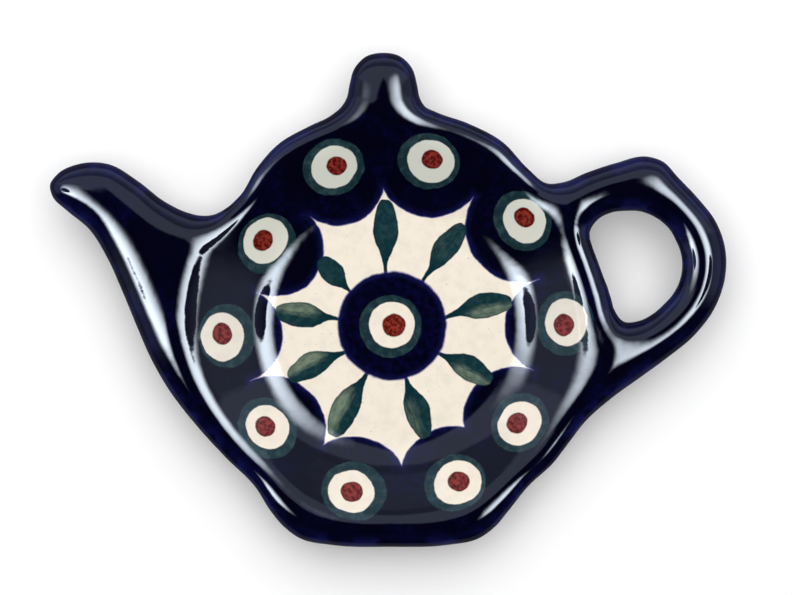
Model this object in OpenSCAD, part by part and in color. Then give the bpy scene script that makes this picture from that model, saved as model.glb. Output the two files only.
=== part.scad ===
// Tea bag rest in the shape of a teapot: one fired piece of glazed stoneware, lying flat.
// Origin: middle of the plan's bounding box, on the table. X to the handle, Y to the lid knob.
// Shapes are worked out about the centre of the round well, and set in place as they are drawn.
// The clay is cut into its features at seams, and each glaze colour is a flush inlay.

/* [Body] */
// Radius of the round pot body
body_r = 41.4; // [39.5:0.1:43]
// Height of the level top of the spout, knob and handle above the table
rim_h = 14; // [12.5:0.5:16]
// Drop of the rounded upper edge, from the level top to the parting line
roll_h = 4; // [3:0.1:4.6]
// Width of the rounded upper edge
roll_w = 7.5; // [6:0.1:9]
// Height of the rounded lower edge, below the parting line
tuck_h = 2.6; // [1.8:0.1:3.2]
// Width of the rounded lower edge
tuck_w = 4; // [3:0.1:5]

/* [Well] */
// Depth of the well below the level top
well_depth = 8.2; // [7:0.1:9]
// Radius of the flat floor of the well, as a share of the body's radius
floor_share = 0.52; // [0.47:0.01:0.58]
// Share of the body's radius at which the floor's curve has become the sloping wall
wall_in_share = 0.712; // [0.69:0.002:0.74]
// Share of the body's radius at which the sloping wall starts to curve over
wall_out_share = 0.858; // [0.84:0.002:0.88]
// Share of the body's radius at which the shoulder has become level
shoulder_share = 1.063; // [1.04:0.001:1.1]

/* [Underside] */
// Height of the foot ring, which lifts the piece off the table
foot_h = 1.5; // [1:0.1:2.2]
// Outer radius of the foot ring's standing face, as a share of the body's radius
foot_share = 0.546; // [0.49:0.002:0.554]
// Width of the foot ring's bare standing face
foot_w = 2.4; // [1.8:0.1:4]
// Slant of the foot ring's sides, from the standing face to the clay above
foot_slant = 0.6; // [0.1:0.1:1]
// Radius of the level clay inside and over the foot ring, as a share of the body's radius
under_floor_share = 0.58; // [0.575:0.005:0.62]
// Share of the body's radius at which the underside has become the slope of the bowl
under_in_share = 0.652; // [0.64:0.002:0.7]
// Share of the body's radius at which that slope starts to level out
under_out_share = 0.797; // [0.77:0.001:0.82]
// Share of the body's radius at which the underside is level again, below the rim
under_rim_share = 0.918; // [0.88:0.002:0.94]

/* [Spout] */
// How far the spout stands out from the body
spout_out = 25.2; // [20:0.2:30]
// Height in plan of the spout's tip above the body's centre line
spout_lift = 27.4; // [24:0.2:31]

/* [Lid knob] */
// Width of the knob
knob_w = 12.8; // [11:0.2:15]
// How far the knob stands out from the body
knob_out = 11.8; // [9:0.2:15]
// Sideways place of the knob's middle line
knob_x = -1.7; // [-4:0.1:4]

/* [Handle] */
// How far the handle stands out from the body
handle_out = 23.7; // [22:0.2:28]
// Height in plan of the handle's upper corner above the centre line
handle_top = 33; // [31:0.2:36]
// Mean radius of the finger hole
hole_r = 9; // [7.5:0.1:9.6]
// Sideways place of the finger hole's centre, out from the body's edge
hole_out = 6.9; // [6.6:0.1:8]
// Height in plan of the finger hole's centre
hole_y = 12.5; // [11:0.5:14]
// Inward bow of the seams between the features and the body
seam_bow = 1.7; // [1.2:0.1:2]

/* [Pot base] */
// Width of the flat base edge across its corners
base_w = 37.2; // [32:0.2:40]
// How far the base edge lies outside the round body
base_out = 1.6; // [1:0.1:3]
// Height in plan over which the base edge turns into the body
base_turn = 7; // [6:0.5:8]
// Sideways place of the base's middle line
base_x = -0.5; // [-3:0.1:3]

/* [Painted pattern] */
// Depth of each colour inlay
inlay_depth = 1.2; // [1:0.1:1.4]
// Mean radius of the circle of eye spots, as a share of the body's radius
eye_share = 0.783; // [0.765:0.001:0.795]
// Radius of the green ring of an eye, as a share of the body's radius
ring_share = 0.146; // [0.13:0.001:0.149]
// Radius of the cream spot of an eye, as a share of the body's radius
white_share = 0.109; // [0.1:0.001:0.12]
// Radius of the red dot of an eye, as a share of the body's radius
dot_share = 0.049; // [0.036:0.001:0.06]
// How much longer than wide each dab of colour is
dab_stretch = 0.3; // [0.2:0.1:0.5]
// Radius of the circle through the points of the cream star, as a share of the body's radius
star_share = 0.681; // [0.655:0.001:0.695]
// Distance from an eye's centre to the edge of its blue scallop, as a share of the body's radius
scallop_share = 0.232; // [0.21:0.001:0.25]
// Radius of the blue medallion in the centre, as a share of the body's radius
medallion_share = 0.251; // [0.22:0.001:0.265]
// Share of the body's radius at which the leaves end
leaf_end_share = 0.58; // [0.545:0.005:0.595]
// Width of a leaf
leaf_w = 4.8; // [3.5:0.1:5.4]
// Width of a leaf's stalk and point
stalk_w = 0.9; // [0.6:0.1:1.4]
// Space between the medallion and the stalks
stalk_gap = 0.5; // [0.3:0.1:1]

/* [Hidden] */

cobalt = [0.05, 0.06, 0.26];
deep_cobalt = [0.04, 0.03, 0.32];
cream = [0.93, 0.9, 0.82];
leaf_green = [0.1, 0.3, 0.29];
rust = [0.5, 0.11, 0.07];
bare_clay = [0.78, 0.7, 0.6];

curve_steps = 2;
circle_sides = 60;
dab_sides = 12;
ground_sides = 28;
over = 3;
hair = 0.0001;

floor_r = body_r * floor_share;
wall_in_r = body_r * wall_in_share;
wall_out_r = body_r * wall_out_share;
shoulder_r = body_r * shoulder_share;
foot_r = body_r * foot_share;
under_floor_r = body_r * under_floor_share;
under_in_r = body_r * under_in_share;
under_out_r = body_r * under_out_share;
under_rim_r = body_r * under_rim_share;
eye_r = body_r * eye_share;
ring_r = body_r * ring_share;
white_r = body_r * white_share;
dot_r = body_r * dot_share;
star_r = body_r * star_share;
scallop_r = body_r * scallop_share;
medallion_r = body_r * medallion_share;
leaf_end_r = body_r * leaf_end_share;
part_z = rim_h - roll_h;
floor_z = rim_h - well_depth;
under_rise = part_z - tuck_h - foot_h;
toe_w = wall_in_r - floor_r;

// Plan outline. Points are shares of each feature's own sizes, anticlockwise from the handle's root.
function around(deg, share) = body_r * share * [cos(deg), sin(deg)];
function on_handle(shares) = [body_r + handle_out * shares[0], handle_top * shares[1]];
function on_knob(shares, side) =
  [knob_x + side * knob_w / 2 * shares[0], body_r + knob_out * shares[1]];
function on_spout(shares) = [-body_r - spout_out * shares[0], spout_lift * shares[1]];
function on_base(shares, side) =
  [base_x + side * base_w / 2 * shares[0], -body_r - base_out + base_turn * shares[1]];
function flipped(list) = [for (i = [len(list) - 1:-1:0]) list[i]];
function inner_of(list) = [for (i = [1:len(list) - 2]) list[i]];

handle_shares = [
  [0.05, -0.43], [0.28, -0.31], [0.51, -0.19], [0.73, -0.06], [0.9, 0.1],
  [0.99, 0.29], [0.99, 0.46], [0.91, 0.62], [0.765, 0.755], [0.6, 0.88],
  [0.48, 0.97], [0.35, 1], [0.085, 0.96], [-0.165, 0.9], [-0.33, 0.85]
];
knob_root_shares = [[1.62, 0.02], [1.58, -0.03]];
knob_shares = [[1.26, 0.12], [1.11, 0.26], [1.03, 0.47], [0.88, 0.74], [0.52, 0.94]];
spout_top_shares = [
  [-0.26, 0.79], [-0.16, 0.785], [-0.05, 0.81], [0.115, 0.885], [0.32, 1.03],
  [0.545, 1.15], [0.785, 1.15], [0.935, 1.085]
];
spout_under_shares = [
  [0.08, -0.455], [0.215, -0.24], [0.33, 0], [0.44, 0.245], [0.555, 0.48],
  [0.705, 0.695], [0.87, 0.82], [0.98, 0.92]
];
base_shares = [[1.24, 0.98], [1.11, 0.57], [0.94, 0.24], [0.6, 0.05]];

handle_root = around(-26.5, 1.013);
handle_valley = around(42.7, 0.99);
spout_valley = around(145.9, 0.966);
spout_root = around(205, 1.041);

handle_line = [for (shares = handle_shares) on_handle(shares)];
right_arc = [around(49, 0.978), around(59, 1.01), around(69.5, 1.018)];
knob_right = concat(
  [on_knob(knob_root_shares[0], 1)], [for (shares = knob_shares) on_knob(shares, 1)]
);
knob_left = concat(
  [on_knob(knob_root_shares[1], -1)], [for (shares = knob_shares) on_knob(shares, -1)]
);
left_arc = [around(112.5, 1.017), around(121.5, 1.01), around(131, 0.976), around(139, 0.942)];
spout_top = [for (shares = spout_top_shares) on_spout(shares)];
spout_under = [for (shares = spout_under_shares) on_spout(shares)];
lower_arc = concat(
  [around(209.5, 1.022), around(218.5, 0.997), around(229.5, 0.993)],
  [for (shares = base_shares) on_base(shares, -1)],
  [on_base([0, 0], 1)],
  [for (shares = flipped(base_shares)) on_base(shares, 1)],
  [around(310.5, 0.989), around(319.5, 0.995), around(327, 0.997)]
);
outline_line = concat(
  [handle_root], handle_line, [handle_valley], right_arc,
  knob_right, [on_knob([0, 1], 1)], flipped(knob_left), left_arc,
  [spout_valley], spout_top, [on_spout([1, 1])], flipped(spout_under), [spout_root], lower_arc
);

// Smooth closed curve through the points: a cubic in each gap, with tangents from both neighbours
function tangent(a, b, c) =
  let (before = norm(b - a), after = norm(c - b))
  ((c - b) / after * before + (b - a) / before * after) / (before + after);
function cubic(a, b, ta, tb, t) =
  a * (2 * t * t * t - 3 * t * t + 1) + ta * (t * t * t - 2 * t * t + t)
  + b * (3 * t * t - 2 * t * t * t) + tb * (t * t * t - t * t);
function smooth_loop(line, steps) =
  let (n = len(line), turn = [
    for (i = [0:n - 1]) tangent(line[(i + n - 1) % n], line[i], line[(i + 1) % n])
  ])
  [
    for (i = [0:n - 1]) let (j = (i + 1) % n, gap = norm(line[j] - line[i]))
      for (s = [0:steps - 1]) cubic(line[i], line[j], turn[i] * gap, turn[j] * gap, s / steps)
  ];
outline = smooth_loop(outline_line, curve_steps);
plan_x = [for (point = outline) point[0]];
plan_y = [for (point = outline) point[1]];
plan_middle = [(min(plan_x) + max(plan_x)) / 2, (min(plan_y) + max(plan_y)) / 2];

// Places of the seams along the outline
at_valley = curve_steps * (1 + len(handle_line));
at_knob = at_valley + curve_steps * (1 + len(right_arc));
at_knob_top = at_knob + curve_steps * len(knob_right);
at_knob_end = at_knob_top + curve_steps * len(knob_left);
at_spout = at_knob_end + curve_steps * (1 + len(left_arc));
at_tip = at_spout + curve_steps * (1 + len(spout_top));
at_root = at_tip + curve_steps * (1 + len(spout_under));
function stretch(first, last) = [for (i = [first:last]) outline[i % len(outline)]];

// Finger hole, a smooth loop about its own centre
hole_shares = [
  0.91, 0.9, 0.9, 0.94, 0.98, 1.03, 1.09, 1.14, 1.23, 1.29, 1.26, 1.05,
  0.91, 0.86, 0.87, 0.93, 1.15, 1.34, 1.27, 1.15, 1.05, 1, 0.96, 0.93
];
hole_centre = [body_r + hole_out, hole_y];
hole_line = [
  for (i = [0:len(hole_shares) - 1]) let (deg = 360 * i / len(hole_shares))
    hole_centre + hole_r * hole_shares[i] * [cos(deg), sin(deg)]
];
hole_loop = smooth_loop(hole_line, curve_steps);
function hole_edge(point) =
  let (
    away = point - hole_centre,
    turn = (atan2(away[1], away[0]) + 360) % 360 / 360 * len(hole_loop),
    i = floor(turn) % len(hole_loop),
    j = (i + 1) % len(hole_loop)
  )
  hole_loop[i] + (hole_loop[j] - hole_loop[i]) * (turn - floor(turn));

// Row of points across a feature, closer together near its two edges, where the clay is round
wide_shares = [0, 0.05, 0.15, 0.3, 0.5, 0.74, 1];
bar_shares = [0, 0.06, 0.2, 0.44, 0.71, 1];
bar_under_shares = [0, 0.12, 0.4, 1];
function from_edge(edge, centre, share) =
  let (width = norm(centre - edge), near = min(width, roll_w))
  edge + (centre - edge) / width * share * (near + (width - near) * share);
function row_across(a, centre, b, shares) = concat(
  [for (share = shares) from_edge(a, centre, share)],
  [for (i = [len(shares) - 2:-1:0]) from_edge(b, centre, shares[i])]
);

// Seam between the body and a feature: a row across it, bent onto a curve round the well
function seam(a, b, bow) =
  let (
    from = atan2(a[1], a[0]),
    sweep = (atan2(b[1], b[0]) - from + 720) % 360,
    chord = norm(b - a)
  )
  concat([a], [
    for (point = inner_of(row_across(a, (a + b) / 2, b, wide_shares))) let (t = norm(point - a) / chord)
      (norm(a) + (norm(b) - norm(a)) * t - bow * 4 * t * (1 - t))
        * [cos(from + sweep * t), sin(from + sweep * t)]
  ], [b]);
handle_seam = seam(outline[0], outline[at_valley], seam_bow);
knob_seam = seam(outline[at_knob], outline[at_knob_end], seam_bow);
spout_seam = seam(outline[at_spout], outline[at_root], seam_bow / 2);

// Clearance from the outline and the hole: true beside one edge, smooth where two come near
handle_loop = concat(stretch(0, at_valley), flipped(inner_of(handle_seam)));
hole_outline = [for (point = handle_loop) hole_edge(point)];
function walls(loop) = [
  for (i = [0:len(loop) - 1]) let (gap = loop[(i + 1) % len(loop)] - loop[i])
    [loop[i], gap / norm(gap), norm(gap)]
];
edge_walls = concat(walls(outline), walls(hole_outline));
ones = [for (wall = edge_walls) 1];
function pull(point, wall) =
  let (
    away = point - wall[0],
    along = away * wall[1],
    off = max(away * away - along * along, hair * hair),
    rest = wall[2] - along
  )
  (rest / sqrt(off + rest * rest) + along / sqrt(off + along * along)) / off;
function clearance(point) = norm(point) < wall_in_r ? roll_w
  : sqrt(2 / ([for (wall = edge_walls) pull(point, wall)] * ones));

// Heights of the top and the underside, which meet at the parting line
function fall(r, r1, r2, r3, r4, depth) =
  let (slope = depth / ((r2 - r1) / 2 + r3 - r2 + (r4 - r3) / 2))
  r <= r1 ? depth
  : r < r2 ? depth - slope * pow(r - r1, 2) / (r2 - r1) / 2
  : r < r3 ? slope * (r3 - r + (r4 - r3) / 2)
  : r < r4 ? slope * pow(r4 - r, 2) / (r4 - r3) / 2
  : 0;
function well_fall(r) = fall(r, floor_r, wall_in_r, wall_out_r, shoulder_r, well_depth);
function bowl_fall(r) = fall(r, under_floor_r, under_in_r, under_out_r, under_rim_r, under_rise);
function rounded(clear, width) =
  clear >= width ? 1 : sqrt(1 - pow((width - clear) / width, 2));
function top_point(point, clear) = [
  point[0], point[1],
  part_z + (roll_h - well_fall(norm(point))) * rounded(clear, roll_w)
];
function under_point(point, clear) = [
  point[0], point[1],
  part_z - (tuck_h + bowl_fall(norm(point))) * rounded(clear, tuck_w)
];

// A closed solid from sheets of rows. Sheets share their edges, and cells with no area fall away.
function has_area(a, b, c) = norm(cross(b - a, c - a)) > hair * hair;
function cells(rows, start) =
  let (n = len(rows), m = len(rows[0])) [
    for (i = [0:n - 2]) for (k = [0:m - 2]) let (
      a = rows[i][k], b = rows[i][k + 1], c = rows[i + 1][k + 1], d = rows[i + 1][k],
      at = start + i * m + k
    ) each concat(
      has_area(a, b, c) ? [[at, at + 1, at + m + 1]] : [],
      has_area(a, c, d) ? [[at, at + m + 1, at + m]] : []
    )
  ];
module solid(sheets) {
  starts = [
    for (i = 0, at = 0; i < len(sheets); at = at + len(sheets[i]) * len(sheets[i][0]), i = i + 1) at
  ];
  polyhedron(
    points = [for (rows = sheets) for (row = rows) each row],
    faces = [for (i = [0:len(sheets) - 1]) each cells(sheets[i], starts[i])]
  );
}
function seam_wall(line) =
  let (last = len(line) - 1) [
    [for (i = [0:last]) top_point(line[i], i == 0 || i == last ? 0 : clearance(line[i]))],
    [for (i = [0:last]) under_point(line[i], i == 0 || i == last ? 0 : clearance(line[i]))]
  ];

// Round body: rays from its loop in to the well's centre, with a ring at each named radius
dish_loop = concat(
  [for (point = inner_of(handle_seam)) [point, 0]],
  [for (point = stretch(at_valley, at_knob)) [point, 1]],
  [for (point = inner_of(knob_seam)) [point, 0]],
  [for (point = stretch(at_knob_end, at_spout)) [point, 1]],
  [for (point = inner_of(spout_seam)) [point, 0]],
  [for (point = stretch(at_root, len(outline))) [point, 1]]
);
rim_shares = [0.05, 0.17, 0.38, 0.66];
tuck_shares = [0.08, 0.27, 0.52];
toe_shares = [0.65, 0.33];
well_radii = concat(
  [wall_out_r, wall_in_r], [for (share = toe_shares) floor_r + toe_w * share], [floor_r, 0]
);
bowl_radii = [under_out_r, under_in_r, under_floor_r, 0];
function ray(point, shares, inner, radii) =
  let (r = norm(point), away = point / r)
  concat(
    [point],
    [for (share = shares) away * (r - (r - inner) * share)],
    [for (radius = radii) away * radius]
  );
dish_top = [
  for (spot = concat(dish_loop, [dish_loop[0]]))
    let (line = ray(spot[0], rim_shares, wall_out_r, well_radii)) [
      for (k = [0:len(line) - 1]) top_point(line[k], k == 0 && spot[1] == 1 ? 0 : clearance(line[k]))
    ]
];
dish_under = [
  for (spot = concat(dish_loop, [dish_loop[0]]))
    let (line = ray(spot[0], tuck_shares, under_out_r, bowl_radii)) [
      for (k = [0:len(line) - 1]) under_point(line[k], k == 0 && spot[1] == 1 ? 0 : clearance(line[k]))
    ]
];
dish_sheets = [
  dish_top, flipped(dish_under), seam_wall(handle_seam), seam_wall(knob_seam), seam_wall(spout_seam)
];

// Spout and knob: rows across from edge to edge, from the seam out to a rounded end
function tongue(first, last_side, seam_line, hub_row, blend_rows) =
  let (
    n = len(first) - 1,
    hub = (first[hub_row] + last_side[hub_row]) / 2,
    straight = row_across(first[0], (first[0] + last_side[0]) / 2, last_side[0], wide_shares)
  )
  [
    for (i = [0:n]) let (
      centre = i < hub_row ? (first[i] + last_side[i]) / 2 : hub,
      row = row_across(first[i], centre, last_side[i], wide_shares),
      fade = i < blend_rows ? pow(1 - i / blend_rows, 2) : 0
    )
      i == 0 ? seam_line
      : [for (k = [0:len(row) - 1]) row[k] + (seam_line[k] - straight[k]) * fade]
  ];
function tongue_sheets(rows) =
  let (n = len(rows) - 1, last = len(rows[0]) - 1)
  [
    [
      for (i = [0:n]) [
        for (k = [0:last]) top_point(rows[i][k], k == 0 || k == last ? 0 : clearance(rows[i][k]))
      ]
    ],
    flipped([
      for (i = [0:n]) [
        for (k = [0:last]) under_point(rows[i][k], k == 0 || k == last ? 0 : clearance(rows[i][k]))
      ]
    ]),
    flipped(seam_wall(rows[0]))
  ];
spout_rows = tongue(
  stretch(at_spout, at_tip), flipped(stretch(at_tip, at_root)), spout_seam,
  curve_steps * (len(spout_top) - 1), curve_steps * 4
);
knob_rows = tongue(
  stretch(at_knob, at_knob_top), flipped(stretch(at_knob_top, at_knob_end)), knob_seam,
  curve_steps * 3, curve_steps * 2
);

// Handle: rays from its outer loop in to the finger hole
function bar_row(j, shares) =
  let (a = handle_loop[j % len(handle_loop)], b = hole_outline[j % len(handle_loop)])
  row_across(a, (a + b) / 2, b, shares);
function bar_clear(j, k, row) =
  k == len(row) - 1 || (k == 0 && j % len(handle_loop) <= at_valley) ? 0 : clearance(row[k]);
handle_sheets = [
  [
    for (j = [0:len(handle_loop)]) let (row = bar_row(j, bar_shares))
      [for (k = [0:len(row) - 1]) top_point(row[k], bar_clear(j, k, row))]
  ],
  [
    for (j = [len(handle_loop):-1:0]) let (row = bar_row(j, bar_under_shares))
      [for (k = [0:len(row) - 1]) under_point(row[k], bar_clear(j, k, row))]
  ],
  flipped(seam_wall(handle_seam))
];

// Painted pattern, laid out by eye as a painter would, so no two repeats are quite alike
eye_angles = [182.4, 218.8, 256.6, 293.5, 322.4, 359.7, 398.3, 436.8, 469.4, 506.2];
eye_shares = [1.02, 0.97, 1.012, 1.02, 0.957, 1.03, 1.025, 1.022, 1.01, 0.93];
star_angles = [201.1, 240.2, 274.1, 306, 342.3, 377.6, 417.7, 453.8, 486.6, 526.2];
star_shares = [1.035, 0.93, 0.961, 0.9, 1, 1.05, 1.04, 0.95, 0.935, 0.955];
leaf_angles = [12, 54, 94, 140, 171, 210, 241, 287, 329];
leaf_shares = [0.97, 1.01, 1.05, 0.86, 0.95, 0.96, 1, 0.95, 0.92];
star_edge_share = 1.09;
belly_share = 0.62;

function spot_on(deg, r) = r * [cos(deg), sin(deg)];
function circle_through(a, b, c) =
  let (
    p = b - a, q = c - a, twice = 2 * (p[0] * q[1] - p[1] * q[0]),
    off = [q[1] * (p * p) - p[1] * (q * q), p[0] * (q * q) - q[0] * (p * p)] / twice
  )
  [a + off, norm(off)];
eyes = [for (i = [0:len(eye_angles) - 1]) spot_on(eye_angles[i], eye_r * eye_shares[i])];
scallops = [
  for (i = [0:len(eyes) - 1]) let (before = (i + len(eyes) - 1) % len(eyes))
    circle_through(
      spot_on(star_angles[before], star_r * star_shares[before]),
      spot_on(star_angles[i], star_r * star_shares[i]),
      spot_on(eye_angles[i], norm(eyes[i]) - scallop_r)
    )
];
wall_tilt = atan(
  well_depth / (toe_w / 2 + wall_out_r - wall_in_r + (shoulder_r - wall_out_r) / 2)
);

module in_place() translate([-plan_middle[0], -plan_middle[1], 0]) children();
module clay_body() solid(dish_sheets);

// One slightly oval dab, square to the glaze at an eye's place. The last place is the centre.
module dab(place, r, depth) {
  centred = place == len(eyes);
  off = centred ? 0 : norm(eyes[place]);
  rotate([0, 0, centred ? 0 : eye_angles[place]])
    translate([off, 0, rim_h - well_fall(off)])
      rotate([0, centred ? 0 : -wall_tilt, 0]) rotate([0, 0, place * 360 / len(eyes)])
        hull() for (side = [-1, 1])
          translate([side * dab_stretch / 2, 0, -depth])
            cylinder(r = r - dab_stretch / 2, h = depth + over, $fn = dab_sides);
}
module dabs(r, depth) for (place = [0:len(eyes)]) dab(place, r, depth);
module outer_dabs(r, depth) for (place = [0:len(eyes) - 1]) dab(place, r, depth);

module leaf(place) {
  foot_at = medallion_r + stalk_gap + stalk_w / 2;
  tip_at = leaf_end_r * leaf_shares[place] - stalk_w / 2;
  rotate([0, 0, leaf_angles[place]])
    translate([0, 0, floor_z - inlay_depth]) hull() {
      translate([foot_at, 0, 0]) cylinder(d = stalk_w, h = rim_h, $fn = dab_sides / 2);
      translate([foot_at + (tip_at - foot_at) * belly_share, 0, 0])
        cylinder(d = leaf_w, h = rim_h, $fn = dab_sides);
      translate([tip_at, 0, 0]) cylinder(d = stalk_w, h = rim_h, $fn = dab_sides / 2);
    }
}
module all_leaves() for (place = [0:len(leaf_angles) - 1]) leaf(place);

module star_ground() translate([0, 0, floor_z - inlay_depth])
  linear_extrude(height = rim_h) difference() {
    circle(r = star_r * star_edge_share, $fn = circle_sides);
    for (scallop = scallops) translate(scallop[0]) circle(r = scallop[1], $fn = ground_sides);
  }

module dish() color(cobalt) in_place() difference() {
  clay_body();
  outer_dabs(ring_r, inlay_depth);
  star_ground();
}
module spout() color(cobalt) in_place() solid(tongue_sheets(spout_rows));
module lid_knob() color(cobalt) in_place() solid(tongue_sheets(knob_rows));
module handle() color(cobalt) in_place() solid(handle_sheets);
module foot_ring() color(bare_clay) in_place() rotate_extrude($fn = circle_sides) polygon([
  [foot_r - foot_w, 0], [foot_r, 0],
  [foot_r + foot_slant, foot_h], [foot_r - foot_w - foot_slant, foot_h]
]);
module star_panel() color(cream) in_place() difference() {
  intersection() {
    clay_body();
    star_ground();
  }
  all_leaves();
  translate([0, 0, floor_z - over]) cylinder(r = medallion_r, h = 2 * over, $fn = circle_sides);
}
module medallion() color(deep_cobalt) in_place() difference() {
  translate([0, 0, floor_z - inlay_depth]) cylinder(r = medallion_r, h = inlay_depth, $fn = circle_sides);
  dab(len(eyes), ring_r, inlay_depth + over);
}
module leaves() color(leaf_green) in_place() intersection() {
  clay_body();
  all_leaves();
}
module eye_rings() color(leaf_green) in_place() difference() {
  intersection() {
    clay_body();
    dabs(ring_r, inlay_depth);
  }
  dabs(white_r, inlay_depth + over);
}
module eye_whites() color(cream) in_place() difference() {
  intersection() {
    clay_body();
    dabs(white_r, inlay_depth);
  }
  dabs(dot_r, inlay_depth + over);
}
module eye_dots() color(rust) in_place() intersection() {
  clay_body();
  dabs(dot_r, inlay_depth);
}

dish();
spout();
lid_knob();
handle();
foot_ring();
star_panel();
medallion();
leaves();
eye_rings();
eye_whites();
eye_dots();
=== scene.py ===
"""Looks of a tea bag rest in the shape of a teapot: its glazed skins, its painting and its stage.

It is laid out as a Blender add-on and run as a script. Blender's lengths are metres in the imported
frame: the origin is the middle of the plan, on the table, with +X to the handle and +Y to the lid
knob. Shapes are worked out in millimetres about the centre of the round well and then set in place.
"""

from math import pi, radians
from types import SimpleNamespace
from typing import NamedTuple

import bpy
import numpy as np
from bpy.props import FloatProperty, FloatVectorProperty, PointerProperty
from bpy.types import Operator, Panel, PropertyGroup
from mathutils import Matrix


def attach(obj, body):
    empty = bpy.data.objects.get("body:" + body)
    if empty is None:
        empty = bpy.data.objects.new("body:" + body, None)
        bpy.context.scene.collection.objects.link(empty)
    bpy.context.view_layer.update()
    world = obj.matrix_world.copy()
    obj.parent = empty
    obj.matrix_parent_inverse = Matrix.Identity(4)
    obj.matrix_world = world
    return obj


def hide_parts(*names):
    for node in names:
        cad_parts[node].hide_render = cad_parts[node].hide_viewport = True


bl_info = {
    "name": "Teapot Tea Bag Rest",
    "version": (1, 0, 0),
    "blender": (4, 5, 0),
    "location": "3D View > Sidebar > Tea Rest",
    "description": "Makes a glazed and painted tea bag rest in the shape of a teapot",
    "category": "Add Mesh",
}

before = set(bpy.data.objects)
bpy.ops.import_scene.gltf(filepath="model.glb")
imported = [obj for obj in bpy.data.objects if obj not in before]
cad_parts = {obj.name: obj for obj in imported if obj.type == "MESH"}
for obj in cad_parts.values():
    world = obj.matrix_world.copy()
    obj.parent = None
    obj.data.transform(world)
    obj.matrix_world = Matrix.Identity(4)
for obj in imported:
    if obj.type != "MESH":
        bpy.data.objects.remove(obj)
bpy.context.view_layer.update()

MM = 0.001
FINE_STEPS = 8  # points along each gap of the outline
COARSE_STEPS = 2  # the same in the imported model, whose middle is the origin
EDGE_ROWS = 16  # rows over a rounded edge
SLOPE_ROWS, TOE_ROWS, FLOOR_ROWS = 6, 8, 4  # rows down the wall of the well and over its floor
FOOT_POINTS, FOOT_TURNS = 48, 192  # points round the foot ring's profile, and profiles round it
FOOT_ROUND = 0.3  # from 0, a boxy profile, to 1, a round one
HAIR = 0.02  # a hair's breadth in mm, to look at a field just inside an edge
FAR = 9.0  # a distance beyond every soft edge
BATCH = 2000  # points whose clearance is worked out at once
MERGE = 1e-5  # points that agree to this many mm are one point


# ---------------------------------------------------------------------------------------------
# Settings that a user would change
# ---------------------------------------------------------------------------------------------


def length(name, description, millimetres):
    """A length setting, given in millimetres and kept in metres."""
    return FloatProperty(
        name=name,
        description=description,
        default=millimetres * MM,
        unit="LENGTH",
        subtype="DISTANCE",
        precision=5,
    )


def linear(red, green, blue):
    """A colour as it is seen on a screen, 0 to 255, turned into linear light."""
    seen = np.array([red, green, blue]) / 255
    return tuple(np.where(seen <= 0.04045, seen / 12.92, ((seen + 0.055) / 1.055) ** 2.4).tolist())


def light_tint(name, description, colour):
    """A colour setting, given as linear light."""
    return FloatVectorProperty(
        name=name, description=description, default=colour, size=3, min=0, max=1, subtype="COLOR"
    )


def tint(name, description, *seen):
    """A colour setting, given as it is seen on a screen."""
    return light_tint(name, description, linear(*seen))


def level(name, description, default):
    """A brightness setting."""
    return FloatProperty(name=name, description=description, default=default, min=0)


def in_millimetres(group, names):
    """Named lengths of a group of settings, in mm."""
    return SimpleNamespace(**{name: getattr(group, name) / MM for name in names})


class TeaRestSizes(PropertyGroup):
    """Sizes of the clay."""

    body_r: length("Body radius", "Radius of the round pot body", 41.4)
    rim_h: length("Rim height", "Height of the level top above the table", 14)
    roll_h: length("Roll height", "Drop of the rounded upper edge", 4)
    roll_w: length("Roll width", "Width of the rounded upper edge", 7.5)
    tuck_h: length("Tuck height", "Height of the rounded lower edge", 2.6)
    tuck_w: length("Tuck width", "Width of the rounded lower edge", 4)
    well_depth: length("Well depth", "Depth of the well below the level top", 8.2)
    floor_r: length("Floor radius", "Radius of the flat floor of the well", 21.53)
    wall_in_r: length("Wall inner radius", "Where the floor's curve becomes the wall", 29.48)
    wall_out_r: length("Wall outer radius", "Where the wall starts to curve over", 35.52)
    shoulder_r: length("Shoulder radius", "Where the shoulder has become level", 44.01)
    foot_h: length("Foot height", "Height of the foot ring", 1.5)
    foot_r: length("Foot radius", "Outer radius of the foot ring", 22.6)
    foot_w: length("Foot width", "Width of the standing face of the foot ring", 2.4)
    foot_slant: length("Foot slant", "Slant of the sides of the foot ring", 0.6)
    under_floor_r: length("Underside floor", "Radius of the level clay over the foot ring", 24.01)
    under_in_r: length("Underside inner", "Where the underside becomes the bowl's slope", 26.99)
    under_out_r: length("Underside outer", "Where that slope starts to level out", 33)
    under_rim_r: length("Underside rim", "Where the underside is level again", 38)
    spout_out: length("Spout reach", "How far the spout stands out", 25.2)
    spout_lift: length("Spout lift", "Height in plan of the spout's tip", 27.4)
    knob_w: length("Knob width", "Width of the lid knob", 12.8)
    knob_out: length("Knob reach", "How far the lid knob stands out", 11.8)
    knob_x: length("Knob place", "Sideways place of the lid knob", -1.7)
    handle_out: length("Handle reach", "How far the handle stands out", 23.7)
    handle_top: length("Handle top", "Height in plan of the handle's upper corner", 33)
    hole_r: length("Hole radius", "Mean radius of the finger hole", 9)
    hole_out: length("Hole reach", "Place of the finger hole, out from the body's edge", 6.9)
    hole_y: length("Hole height", "Height in plan of the finger hole's centre", 12.5)
    seam_bow: length("Seam bow", "Inward bow of the seams at the body", 1.7)
    base_w: length("Base width", "Width of the pot's flat base edge", 37.2)
    base_out: length("Base reach", "How far the base edge lies outside the round body", 1.6)
    base_turn: length("Base turn", "Height over which the base edge turns into the body", 7)
    base_x: length("Base place", "Sideways place of the base's middle line", -0.5)


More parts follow.
